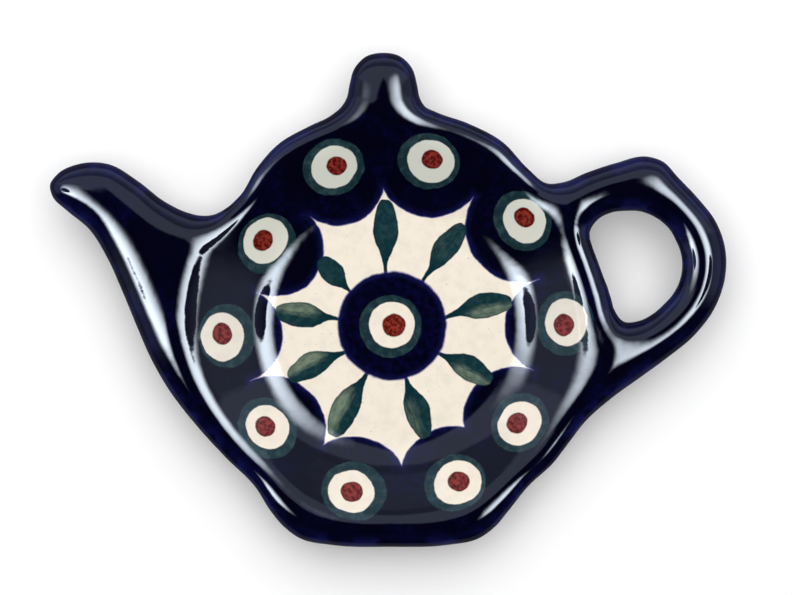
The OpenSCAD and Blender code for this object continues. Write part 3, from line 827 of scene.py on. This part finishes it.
def dab_group():
    """Reach of a dab: distance from its place, turned and divided by its size, 1 on its edge."""
    group, board, given, result = new_group(
        "Brush dab",
        {
            "Point": "Vector",
            "Place": "Vector",
            "Turn": "Float",
            "Size": "Vector",
            "Nearest": "Float",
        },
        {"Nearest": "Float"},
    )
    point = board.turned(given["Point"], given["Place"], given["Turn"])
    reach = board.measure("LENGTH", board.vector("DIVIDE", point, given["Size"]))
    board.feed(result["Nearest"], board.number("MINIMUM", reach, given["Nearest"]))
    return group


def scallop_group():
    """Distance outside the nearest of several scallops, in mm."""
    group, board, given, result = new_group(
        "Scallop edge",
        {"Point": "Vector", "Centre": "Vector", "Radius": "Float", "Nearest": "Float"},
        {"Nearest": "Float"},
    )
    reach = board.measure("DISTANCE", given["Point"], given["Centre"])
    outside = board.number("SUBTRACT", reach, given["Radius"])
    board.feed(result["Nearest"], board.number("MINIMUM", outside, given["Nearest"]))
    return group


def leaf_group():
    """One leaf laid over those before it.

    Inside a leaf the distance from its bent middle line is less than its half width, which
    follows the curve of LEAF_WIDTHS. Cover is how far inside a leaf a point is, in mm.
    """
    group, board, given, result = new_group(
        "Painted leaf",
        {
            "Point": "Vector",
            "Foot": "Vector",
            "Turn": "Float",
            "Size": "Vector",
            "Bend": "Float",
            "Dry left": "Float",
            "Dry right": "Float",
            "Cover": "Float",
            "Stroke": "Vector",
        },
        {"Cover": "Float", "Stroke": "Vector"},
    )
    ahead, aside, _ = board.parts(board.turned(given["Point"], given["Foot"], given["Turn"]))
    long, wide, _ = board.parts(given["Size"])
    along = board.number("DIVIDE", ahead, long)
    bow = board.times(board.times(along, board.number("SUBTRACT", 1.0, along)), 4.0)
    across = board.number("SUBTRACT", aside, board.times(bow, given["Bend"]))
    curve = board.add("ShaderNodeFloatCurve")
    line = curve.mapping.curves[0]
    line.points[0].location, line.points[1].location = LEAF_WIDTHS[0], LEAF_WIDTHS[-1]
    for spot in LEAF_WIDTHS[1:-1]:
        line.points.new(*spot)
    curve.mapping.update()
    board.feed(curve.inputs["Value"], along)
    half = board.times(curve.outputs[0], wide)
    inside = board.number("SUBTRACT", half, board.number("ABSOLUTE", across))
    for end in (board.number("ADD", ahead, STALK), board.number("SUBTRACT", long, ahead)):
        inside = board.number("MINIMUM", inside, end)
    side = board.number("DIVIDE", across, wide)
    left = board.step(side, -0.35, 0.45)
    more = board.number("SUBTRACT", given["Dry left"], given["Dry right"])
    dry = board.number("MULTIPLY_ADD", left, more, given["Dry right"])
    here = board.number("GREATER_THAN", inside, given["Cover"])
    stroke = board.mix("VECTOR", here, given["Stroke"], board.join(along, side, dry))
    board.feed(result["Stroke"], stroke)
    board.feed(result["Cover"], board.number("MAXIMUM", inside, given["Cover"]))
    return group


def cobalt_group(painting):
    """Cobalt glaze all over: nearly black and clouded. Along the edges it is bluer, partly as thin
    glaze and partly as a painted reflection.

    Under the bowl it gives way, past a brushed line, to clear glaze over the pale clay. Height
    is the gentle unevenness of the fired glaze, in mm.
    """
    group, board, given, result = new_group(
        "Cobalt glaze",
        {"Point": "Vector", "Edge": "Float", "Underside": "Float"},
        {"Colour": "Color", "Height": "Float", "Roughness": "Float"},
    )
    point, edge = given["Point"], given["Edge"]
    broad = board.noise(point, 0.12, 4.0, 0.6)
    fine = board.noise(point, 0.9, 5.0, 0.65)
    cloud = board.times(board.step(broad, 0.42, 0.7), board.step(fine, 0.35, 0.75))
    colour = board.paint(cloud, painting.cobalt, painting.cobalt_cloud)
    # Bluer along the edges: partly thin glaze, partly a painted reflection in the rounded edges.
    rim = board.step(board.number("MULTIPLY_ADD", fine, 2.2, edge), 1.2, 4.2, 1, 0)
    patchy = board.step(board.noise(point, 0.2, 3.0, 0.6), 0.4, 0.62, 0.06, 0.6)
    colour = board.paint(board.times(rim, patchy), colour, painting.cobalt_thin)
    speck = board.step(board.noise(point, 3.1, 1.0, 0.4), 0.78, 0.84)
    colour = board.paint(board.times(speck, 0.25), colour, painting.cobalt_line)
    brushed = board.number("MULTIPLY_ADD", board.noise(point, 0.35, 3.0), 2.4, edge)
    bare = board.times(board.step(brushed, 6.4, 6.9), given["Underside"])
    cream = board.paint(board.step(broad, 0.4, 0.65), painting.cream, painting.cream_cloud)
    board.feed(result["Colour"], board.paint(bare, colour, cream))
    swell = board.times(board.noise(point, 0.16, 2.0, 0.5), SWELL)
    ripple = board.times(board.noise(point, 1.1, 2.0, 0.5), RIPPLE)
    board.feed(result["Height"], board.number("ADD", swell, ripple))
    board.feed(result["Roughness"], board.step(fine, 0.3, 0.8, 0.02, 0.05))
    return group


def streak_group():
    """Brush streaks: noise that is drawn out along X, and patches where the brush ran dry."""
    group, board, given, result = new_group(
        "Brush streaks",
        {"Stroke": "Vector", "Length": "Float", "Width": "Float"},
        {"Streak": "Float"},
    )
    size = board.join(given["Length"], given["Width"], 1.7)
    hairs = board.noise(board.vector("MULTIPLY", given["Stroke"], size), 1.0, 4.0, 0.6)
    board.feed(result["Streak"], board.step(hairs, 0.3, 0.7))
    return group


def glaze_point(board, plan):
    """Object coordinates turned into mm about the centre of the well."""
    coordinates = board.add("ShaderNodeTexCoord").outputs["Object"]
    mapping = board.add("ShaderNodeMapping", vector_type="POINT")
    board.feed(mapping.inputs["Vector"], coordinates)
    board.feed(mapping.inputs["Location"], (*plan.middle, 0))
    board.feed(mapping.inputs["Scale"], (1 / MM, 1 / MM, 1 / MM))
    return mapping.outputs[0]


def attribute(board, name):
    """A number that is kept on the piece's own points."""
    return board.add("ShaderNodeAttribute", attribute_name=name).outputs["Fac"]


def new_material(name):
    """A material with a Principled BSDF, its board and the shader node."""
    material = bpy.data.materials.new(name)
    material.use_nodes = True
    tree = material.node_tree
    tree.nodes.clear()
    board = Board(tree)
    shader = board.add("ShaderNodeBsdfPrincipled")
    output = board.add("ShaderNodeOutputMaterial")
    tree.links.new(shader.outputs[0], output.inputs["Surface"])
    return material, board, shader


def roughen(board, shader, height, depth):
    """Makes a surface uneven by a height, which is depth mm where it is 1."""
    bump = board.add("ShaderNodeBump")
    board.feed(bump.inputs["Distance"], depth * MM)
    board.feed(bump.inputs["Strength"], 1.0)
    board.feed(bump.inputs["Height"], height)
    board.feed(shader.inputs["Normal"], bump.outputs[0])


def lay_cobalt(board, plan, group):
    """Lays the cobalt glaze, and gives it with the point and the underside it was laid by."""
    point = glaze_point(board, plan)
    edge, underside = attribute(board, "edge_distance"), attribute(board, "underside")
    return board.place(group, point=point, edge=edge, underside=underside), point, underside


def finish_glaze(board, shader, colour, rough, height):
    """Feeds a glossy glaze: colour, roughness and the height of its surface in mm."""
    board.feed(shader.inputs["Base Color"], colour)
    board.feed(shader.inputs["Roughness"], rough)
    board.feed(shader.inputs["IOR"], 1.5)
    roughen(board, shader, height, 1)


def cobalt_material(plan, cobalt):
    """Plain cobalt glaze of the spout, knob and handle."""
    material, board, shader = new_material("cobalt_glaze_fired")
    made, _, _ = lay_cobalt(board, plan, cobalt)
    finish_glaze(board, shader, made["Colour"], made["Roughness"], made["Height"])
    return material


def circle_through(a, b, c):
    """Centre and radius of the circle through three points."""
    p, q = b - a, c - a
    twice = 2 * (p[0] * q[1] - p[1] * q[0])
    off = np.array([q[1] * (p @ p) - p[1] * (q @ q), p[0] * (q @ q) - q[0] * (p @ p)]) / twice
    return a + off, np.linalg.norm(off)


def star_field(board, drawn, from_centre, mm, eyes):
    """Distance inside the cream star in mm, to the nearest of the circles round it.

    A scallop is the circle through two points of the star and the top of the arch before an
    eye. A plug is a smaller circle beyond a point, where two scallops would leave a chink.
    """
    tips = around(mm.star_r, STAR_ANGLES, STAR_SHARES)
    arches = mm.scallop_r * np.array(SCALLOP_SHARES)
    tops = around(1, EYE_ANGLES, np.hypot(*eyes.T) - arches)
    scallop = scallop_group()
    star = board.number("SUBTRACT", mm.star_r * STAR_LIMIT, from_centre)
    for i, tip in enumerate(tips):
        plug = tip * (1 + (PLUG_R + PLUG_GAP) / np.hypot(*tip))
        for centre, radius in (circle_through(tips[i - 1], tip, tops[i]), (plug, PLUG_R)):
            laid = board.place(
                scallop, point=drawn, centre=(*centre, 0), radius=radius, nearest=star
            )
            star = laid["Nearest"]
    return star


def leaf_field(board, drawn):
    """How far inside a leaf a point is in mm, and where it is in that leaf's stroke."""
    leaf = leaf_group()
    cover, stroke = -FAR, (0.0, 0.0, 0.0)
    for (foot_r, foot_angle), (end_r, end_angle), width, bend, dry_left, dry_right in LEAVES:
        foot, end = around(np.array([foot_r, end_r]), [foot_angle, end_angle], [1, 1])
        laid = board.place(
            leaf,
            point=drawn,
            foot=(*foot, 0),
            turn=np.arctan2(*(end - foot)[::-1]),
            size=(np.hypot(*(end - foot)), width / 2, 1),
            bend=bend,
            dry_left=dry_left,
            dry_right=dry_right,
            cover=cover,
            stroke=stroke,
        )
        cover, stroke = laid["Cover"], laid["Stroke"]
    return cover, stroke


def eye_fields(board, drawn, eyes, squeeze):
    """Reaches of the nearest ring, spot and dot, squeezed in plan by the slope of the wall."""
    dab = dab_group()
    places, angles = [*eyes, (0, 0)], [*EYE_ANGLES, 0]
    slims = [squeeze] * len(eyes) + [1]
    fields = []
    for part in (0, 2, 4):
        nearest = FAR
        for place, angle, slim, dabs in zip(places, angles, slims, EYE_DABS):
            shift, radius = dabs[part : part + 2]
            laid = board.place(
                dab,
                point=drawn,
                place=(*np.add(place, shift), 0),
                turn=radians(angle),
                size=(radius * slim, radius, 1),
                nearest=nearest,
            )
            nearest = laid["Nearest"]
        fields.append(nearest)
    return fields


def painted_material(plan, painting, cobalt):
    """Cobalt glaze of the body with the painting of the well over it."""
    mm = in_millimetres(painting, ("star_r", "eye_r", "scallop_r", "medallion_r"))
    material, board, shader = new_material("painted_glaze_fired")
    made, point, underside = lay_cobalt(board, plan, cobalt)

    # Plan point, and the same as the hand draws it, with a slow drift and a quick tremble
    plain = drawn = board.vector("MULTIPLY", point, (1, 1, 0))
    for scale, rough, reach in ((0.3, 0.5, 0.7), (1.6, 0.6, 0.13)):
        shake = board.noise(plain, scale, 2.0, rough, colour=True)
        shake = board.vector("SUBTRACT", shake, (0.5, 0.5, 0.5))
        drawn = board.vector("MULTIPLY_ADD", shake, (reach, reach, 0), drawn)
    from_centre = board.measure("LENGTH", drawn)
    mottle = board.noise(plain, 0.35, 4.0, 0.6)
    patch = board.noise(plain, 0.7, 3.0, 0.6)

    # Cream star, with cobalt that bleeds over its edge
    eyes = around(mm.eye_r, EYE_ANGLES, EYE_SHARES)
    star = star_field(board, drawn, from_centre, mm, eyes)
    cream = board.paint(board.step(mottle, 0.4, 0.7), painting.cream, painting.cream_cloud)
    speck = board.step(board.noise(plain, 2.3, 0.0, 0.3), 0.8, 0.85)
    cream = board.paint(board.times(speck, 0.6), cream, painting.leaf_pale)
    glow = board.times(board.step(star, -1.8, 0.0), board.step(patch, 0.2, 0.7, 0.1, 0.45))
    colour = board.paint(glow, made["Colour"], painting.cobalt_thin)
    colour = board.paint(board.step(star, -0.3, 0.1, 0, 0.7), colour, painting.cobalt_line)
    colour = board.paint(board.step(star, -0.1, 0.22), colour, cream)

    # Leaves, pale where the brush ran dry and dark along their edges
    cover, stroke = leaf_field(board, drawn)
    streak = board.place(streak_group(), stroke=stroke, length=6.0, width=4.2)["Streak"]
    along, _, dry = board.parts(stroke)
    belly = board.step(along, 0.12, 0.5)
    streak = board.number("MULTIPLY_ADD", streak, 0.35, 0.6)
    dry = board.times(board.times(dry, belly), streak, clamp=True)
    full = board.times(board.step(patch, 0.4, 0.65, 0.2, 0.9), belly)
    green = board.paint(full, painting.leaf_dark, painting.leaf_mid)
    green = board.paint(board.step(dry, 0.25, 0.95), green, painting.leaf_pale)
    green = board.paint(board.step(cover, 0.55, 0.0, 0, 0.6), green, painting.leaf_dark)
    colour = board.paint(board.step(cover, -0.12, 0.12), colour, green)

    # Medallion, clouded and thinner along its edge
    disc = board.number("SUBTRACT", mm.medallion_r, from_centre)
    cloud = board.step(patch, 0.35, 0.75, 0, 0.8)
    navy = board.paint(cloud, painting.cobalt, painting.cobalt_cloud)
    navy = board.paint(board.step(disc, 1.4, 0.0, 0, 0.4), navy, painting.cobalt_thin)
    colour = board.paint(board.step(disc, -0.3, 0.0, 0, 0.6), colour, painting.cobalt_line)
    colour = board.paint(board.step(disc, -0.12, 0.2), colour, navy)

    # Eyes: ring, spot and dot
    steep = plan.steepness(plan.well_radii, plan.size.well_depth)
    ring, spot, dot = eye_fields(board, drawn, eyes, 1 / np.hypot(1, steep))
    brushed = board.step(board.noise(plain, 0.55, 4.0, 0.65), 0.42, 0.72)
    green = board.paint(board.times(brushed, 0.6), painting.ring_dark, painting.ring_pale)
    thin = board.step(board.number("MULTIPLY_ADD", patch, 0.06, ring), 1.0, 1.05, 1, 0)
    colour = board.paint(board.times(thin, 0.92), colour, green)
    cream = board.paint(board.step(mottle, 0.35, 0.7), painting.cream, painting.cream_cloud)
    # Painted shade: spots higher up the plan, on the well's north wall that faces away from the
    # light, are laid darker.
    upwards = board.step(board.parts(plain)[1], -20.0, 34.0)
    north_shade = board.times(upwards, board.step(from_centre, 8.0, 14.0))
    cream = board.paint(north_shade, cream, painting.cream_shaded)
    colour = board.paint(board.step(spot, 0.965, 1.02, 1, 0), colour, cream)
    blotch = board.step(board.noise(plain, 1.3, 3.0, 0.6), 0.38, 0.62)
    red = board.paint(board.times(blotch, 0.8), painting.rust_dark, painting.rust)
    red = board.paint(board.step(dot, 0.72, 1.0, 0, 0.75), red, painting.rust_dark)
    colour = board.paint(board.step(dot, 0.93, 1.06, 1, 0), colour, red)

    colour = board.paint(underside, colour, made["Colour"])
    relief = board.times(board.step(spot, 0.9, 1.1, 1, 0), SPOT_RISE)
    height = board.number("ADD", made["Height"], relief)
    finish_glaze(board, shader, colour, made["Roughness"], height)
    return material


def clay_material(plan, painting):
    """Bare fired clay: pale, dull and finely speckled, rubbed darker in places."""
    material, board, shader = new_material("bare_clay_fired")
    point = glaze_point(board, plan)
    grain = board.noise(point, 4.0, 4.0, 0.7)
    rubbed = board.step(board.noise(point, 0.25, 3.0, 0.6), 0.4, 0.7)
    shade = tuple(RUBBED * part for part in painting.bare_clay)
    colour = board.paint(rubbed, painting.bare_clay, shade)
    speck = board.step(board.noise(point, 2.6, 0.0), 0.72, 0.8)
    colour = board.paint(board.times(speck, 0.5), colour, painting.clay_speck)
    board.feed(shader.inputs["Base Color"], colour)
    board.feed(shader.inputs["Roughness"], board.step(grain, 0.2, 0.8, 0.75, 0.95))
    roughen(board, shader, grain, GRAIN)
    return material


def materials_of(context):
    """The finishes, made once and then found again by name."""
    plan = TeapotPlan(context.scene.tea_rest_sizes)
    painting = context.scene.tea_rest_painting
    if "cobalt_glaze_fired" not in bpy.data.materials:
        cobalt = cobalt_group(painting)
        cobalt_material(plan, cobalt)
        painted_material(plan, painting, cobalt)
        clay_material(plan, painting)
    return plan, bpy.data.materials


# ---------------------------------------------------------------------------------------------
# Operators
# ---------------------------------------------------------------------------------------------


def build(context, name, sheets_of, finish, *nodes):
    """Makes one piece of the rest in its finish, to stand for CAD nodes."""
    plan, finishes = materials_of(context)
    make_piece(name, plan, sheets_of(plan), finishes[finish], nodes)
    return {"FINISHED"}


class TEAREST_OT_body(Operator):
    """Make the round body with its painted well"""

    bl_idname = "tea_rest.body"
    bl_label = "Body"

    def execute(self, context):
        painted = ("star_panel", "medallion", "leaves", "eye_rings", "eye_whites", "eye_dots")
        return build(context, "pot_body", body_sheets, "painted_glaze_fired", "dish", *painted)


class TEAREST_OT_spout(Operator):
    """Make the spout"""

    bl_idname = "tea_rest.spout"
    bl_label = "Spout"

    def execute(self, context):
        return build(context, "pot_spout", spout_sheets, "cobalt_glaze_fired", "spout")


class TEAREST_OT_knob(Operator):
    """Make the lid knob"""

    bl_idname = "tea_rest.knob"
    bl_label = "Lid knob"

    def execute(self, context):
        return build(context, "pot_lid_knob", knob_sheets, "cobalt_glaze_fired", "lid_knob")


class TEAREST_OT_handle(Operator):
    """Make the handle round the finger hole"""

    bl_idname = "tea_rest.handle"
    bl_label = "Handle"

    def execute(self, context):
        return build(context, "pot_handle", handle_sheets, "cobalt_glaze_fired", "handle")


class TEAREST_OT_foot(Operator):
    """Make the bare foot ring"""

    bl_idname = "tea_rest.foot"
    bl_label = "Foot ring"

    def execute(self, context):
        return build(context, "pot_foot_ring", foot_sheets, "bare_clay_fired", "foot_ring")


# The two lamps seen in the glaze: name, share of the gleam, tilt and azimuth in degrees, width
# and length in metres, place and size of the dark lamp head on the cloth, and the cloth's lean.
LAMPS = (
    ("gleam_right", 1.0, 24, 15, 0.56, 0.84, (0.24, -0.43), (0.5, 0.26), 0.0),
    ("gleam_left", 0.75, 33, 177, 0.6, 0.72, (0.36, 0.24), (0.42, 0.34), 1.2),
)
LAMP_REACH = 0.9  # distance of the lamps from the well in metres
# Bands of the wall in the glaze: where a band begins and is full, going up, and what it adds
WALL_BANDS = ((0.84, 1.0, -0.65), (1.25, 1.5, 0.2), (1.7, 2.1, 0.35), (4.0, 9.0, -0.45))
FLOOR_HALF = 3.0  # half the width of the floor in metres
FLOOR_GLEAM = 0.15  # brightness of the floor as seen in the glaze, as a share
CLAY_H = 10 * MM  # height at which the camera's view has its width


def add_lamp(name, tilt, azimuth, width, long, radiance):
    """A rectangle of light that faces the rest, at a tilt from straight above.

    Its power is pi times its area times its radiance.
    """
    data = bpy.data.lights.new(name, "AREA")
    data.shape = "RECTANGLE"
    data.size, data.size_y = width, long
    data.energy = pi * width * long * radiance
    lamp = bpy.data.objects.new(name, data)
    lean, turn = radians(tilt), radians(azimuth)
    across, up = LAMP_REACH * np.sin(lean), LAMP_REACH * np.cos(lean)
    lamp.location = (across * np.cos(turn), across * np.sin(turn), up)
    lamp.rotation_euler = (0, lean, turn)
    bpy.context.scene.collection.objects.link(lamp)
    return lamp


def dim_towards_rim(lamp, head, head_size, lean):
    """Makes a lamp a cloth lit from behind its dark lamp head, so that it fades away from it.

    Places on it run from -1 to 1 both ways. The cloth's light is the product of soft steps: down
    with the distance from the head, and down to the rims. The head is an ellipse without light.
    The lean makes one end of the cloth brighter and the other as much dimmer.
    """
    lamp.data.use_nodes = True
    tree = lamp.data.node_tree
    tree.nodes.clear()
    board = Board(tree)
    place = board.add("ShaderNodeNewGeometry").outputs["Parametric"]
    place = board.vector("MULTIPLY_ADD", place, (2, 2, 0), (-1, -1, 0))
    out, along, _ = board.parts(place)
    cloth = board.step(board.measure("DISTANCE", place, (*head, 0)), 0.35, 1.5, 1, 0)
    for share in (
        board.step(out, -1.0, -0.5),
        board.step(out, 0.2, 1.0, 1, 0),
        board.step(board.number("ABSOLUTE", along), 0.6, 1.0, 1, 0),
        board.number("MAXIMUM", board.number("MULTIPLY_ADD", along, lean, 1.0), 0.0),
    ):
        cloth = board.times(cloth, share)
    off = board.vector("DIVIDE", board.vector("SUBTRACT", place, (*head, 0)), (*head_size, 1))
    clear = board.step(board.measure("LENGTH", off), 0.9, 1.1)
    shader = board.add("ShaderNodeEmission")
    board.feed(shader.inputs["Strength"], board.times(cloth, clear))
    output = board.add("ShaderNodeOutputLight")
    tree.links.new(shader.outputs[0], output.inputs["Surface"])


def light_room(stage):
    """Room all round: white to the camera, even for dull surfaces, and a dim studio in the glaze.

    In the glaze the ceiling overhead and the south are dark, a grey wall stands to the north, and
    dimmer walls to the left and right.
    """
    world = bpy.data.worlds.new("studio_room")
    bpy.context.scene.world = world
    world.use_nodes = True
    world.node_tree.nodes.clear()
    board = Board(world.node_tree)
    east, north, height = board.parts(board.add("ShaderNodeTexCoord").outputs["Generated"])
    sideways = board.number("ABSOLUTE", east)
    away = board.number("DIVIDE", north, board.number("MAXIMUM", height, 0.05))
    wall = board.step(board.number("MULTIPLY_ADD", sideways, 1.2, away), 0.3, 0.44, 0, 1.05)
    for low, high, change in WALL_BANDS:
        wall = board.number("ADD", wall, board.step(away, low, high, 0, change))
    leaning = board.number("MULTIPLY_ADD", sideways, -0.28, north)
    wall = board.times(wall, board.step(leaning, 0.02, 0.12))
    leaning = board.number("MULTIPLY_ADD", sideways, 0.45, north)
    flank = board.times(board.step(sideways, 0.3, 0.8), board.step(leaning, -0.1, 0.15))
    seen = board.number("MAXIMUM", wall, board.times(flank, 0.6))
    seen = board.times(seen, board.step(height, 0.02, 0.3, 0.3, 1))
    path = board.add("ShaderNodeLightPath").outputs
    strength = board.mix("FLOAT", path["Is Glossy Ray"], stage.room_light, seen)
    background = board.add("ShaderNodeBackground")
    board.feed(
        background.inputs["Color"], board.paint(path["Is Glossy Ray"], (1, 1, 1), stage.wall_tint)
    )
    board.feed(
        background.inputs["Strength"], board.mix("FLOAT", path["Is Camera Ray"], strength, 1.0)
    )
    output = board.add("ShaderNodeOutputWorld")
    world.node_tree.links.new(background.outputs[0], output.inputs["Surface"])


class TEAREST_OT_stage(Operator):
    """Lay the floor and set up the camera and the soft light"""

    bl_idname = "tea_rest.stage"
    bl_label = "Floor, camera and light"

    def execute(self, context):
        scene = context.scene
        stage = scene.tea_rest_stage
        mesh = bpy.data.meshes.new("pale_floor")
        half = FLOOR_HALF
        corners = [(-half, -half, 0), (half, -half, 0), (half, half, 0), (-half, half, 0)]
        mesh.from_pydata(corners, [], [(0, 1, 2, 3)])
        floor = bpy.data.objects.new("pale_floor", mesh)
        scene.collection.objects.link(floor)
        material, board, shader = new_material("pale_floor_paper")
        path = board.add("ShaderNodeLightPath").outputs
        # Painted shade: the floor is darker in the glaze's reflections, for its shadow beside the
        # clay.
        shade = tuple(FLOOR_GLEAM * part for part in stage.floor_tint)
        colour = board.paint(path["Is Glossy Ray"], stage.floor_tint, shade)
        board.feed(shader.inputs["Roughness"], 1.0)
        board.feed(shader.inputs["Specular IOR Level"], 0.0)
        place = board.add("ShaderNodeTexCoord").outputs["Object"]
        far = board.step(board.measure("LENGTH", place), 0.2, 0.6)
        far = board.times(far, path["Is Camera Ray"])
        board.feed(shader.inputs["Base Color"], board.paint(far, colour, (0, 0, 0)))
        board.feed(shader.inputs["Emission Color"], (1, 1, 1))
        board.feed(shader.inputs["Emission Strength"], far)
        mesh.materials.append(material)

        light_room(stage)
        above = add_lamp("soft_light_above", 20, 90, 1.4, 1.4, stage.soft_light)
        above.visible_glossy = False
        for name, share, tilt, azimuth, width, long, head, head_size, lean in LAMPS:
            lamp = add_lamp(name, tilt, azimuth, width, long, share * stage.gleam)
            lamp.data.color = stage.gleam_tint
            lamp.visible_diffuse = False
            dim_towards_rim(lamp, head, head_size, lean)

        camera = bpy.data.cameras.new("overhead_camera")
        eye = bpy.data.objects.new("overhead_camera", camera)
        scene.collection.objects.link(eye)
        camera.sensor_width = 36
        camera.lens = camera.sensor_width * (stage.camera_h - CLAY_H) / stage.view_w
        eye.location = (stage.view_x, stage.view_y, stage.camera_h)
        scene.camera = eye
        scene.view_settings.view_transform = "Standard"
        return {"FINISHED"}


class TEAREST_PT_panel(Panel):
    """Sizes, colours and buttons of the tea bag rest"""

    bl_idname = "TEAREST_PT_panel"
    bl_label = "Tea Bag Rest"
    bl_space_type = "VIEW_3D"
    bl_region_type = "UI"
    bl_category = "Tea Rest"

    def draw(self, context):
        for operator in OPERATORS:
            self.layout.operator(operator.bl_idname)
        scene = context.scene
        for title, group in (
            ("Sizes", scene.tea_rest_sizes),
            ("Painting", scene.tea_rest_painting),
            ("Stage", scene.tea_rest_stage),
        ):
            box = self.layout.box()
            box.label(text=title)
            for name in type(group).__annotations__:
                box.prop(group, name)


GROUPS = {
    "tea_rest_sizes": TeaRestSizes,
    "tea_rest_painting": TeaRestPainting,
    "tea_rest_stage": TeaRestStage,
}
OPERATORS = (
    TEAREST_OT_body,
    TEAREST_OT_spout,
    TEAREST_OT_knob,
    TEAREST_OT_handle,
    TEAREST_OT_foot,
    TEAREST_OT_stage,
)


def register():
    """Makes the settings, the operators and the panel known to Blender."""
    for kind in (*GROUPS.values(), *OPERATORS, TEAREST_PT_panel):
        bpy.utils.register_class(kind)
    for name, kind in GROUPS.items():
        setattr(bpy.types.Scene, name, PointerProperty(type=kind))


def unregister():
    """Takes them away again."""
    for name in GROUPS:
        delattr(bpy.types.Scene, name)
    for kind in reversed((*GROUPS.values(), *OPERATORS, TEAREST_PT_panel)):
        bpy.utils.unregister_class(kind)


def main():
    """Makes every piece and the stage."""
    register()
    bpy.ops.tea_rest.body()
    bpy.ops.tea_rest.spout()
    bpy.ops.tea_rest.knob()
    bpy.ops.tea_rest.handle()
    bpy.ops.tea_rest.foot()
    bpy.ops.tea_rest.stage()


if __name__ == "__main__":
    main()
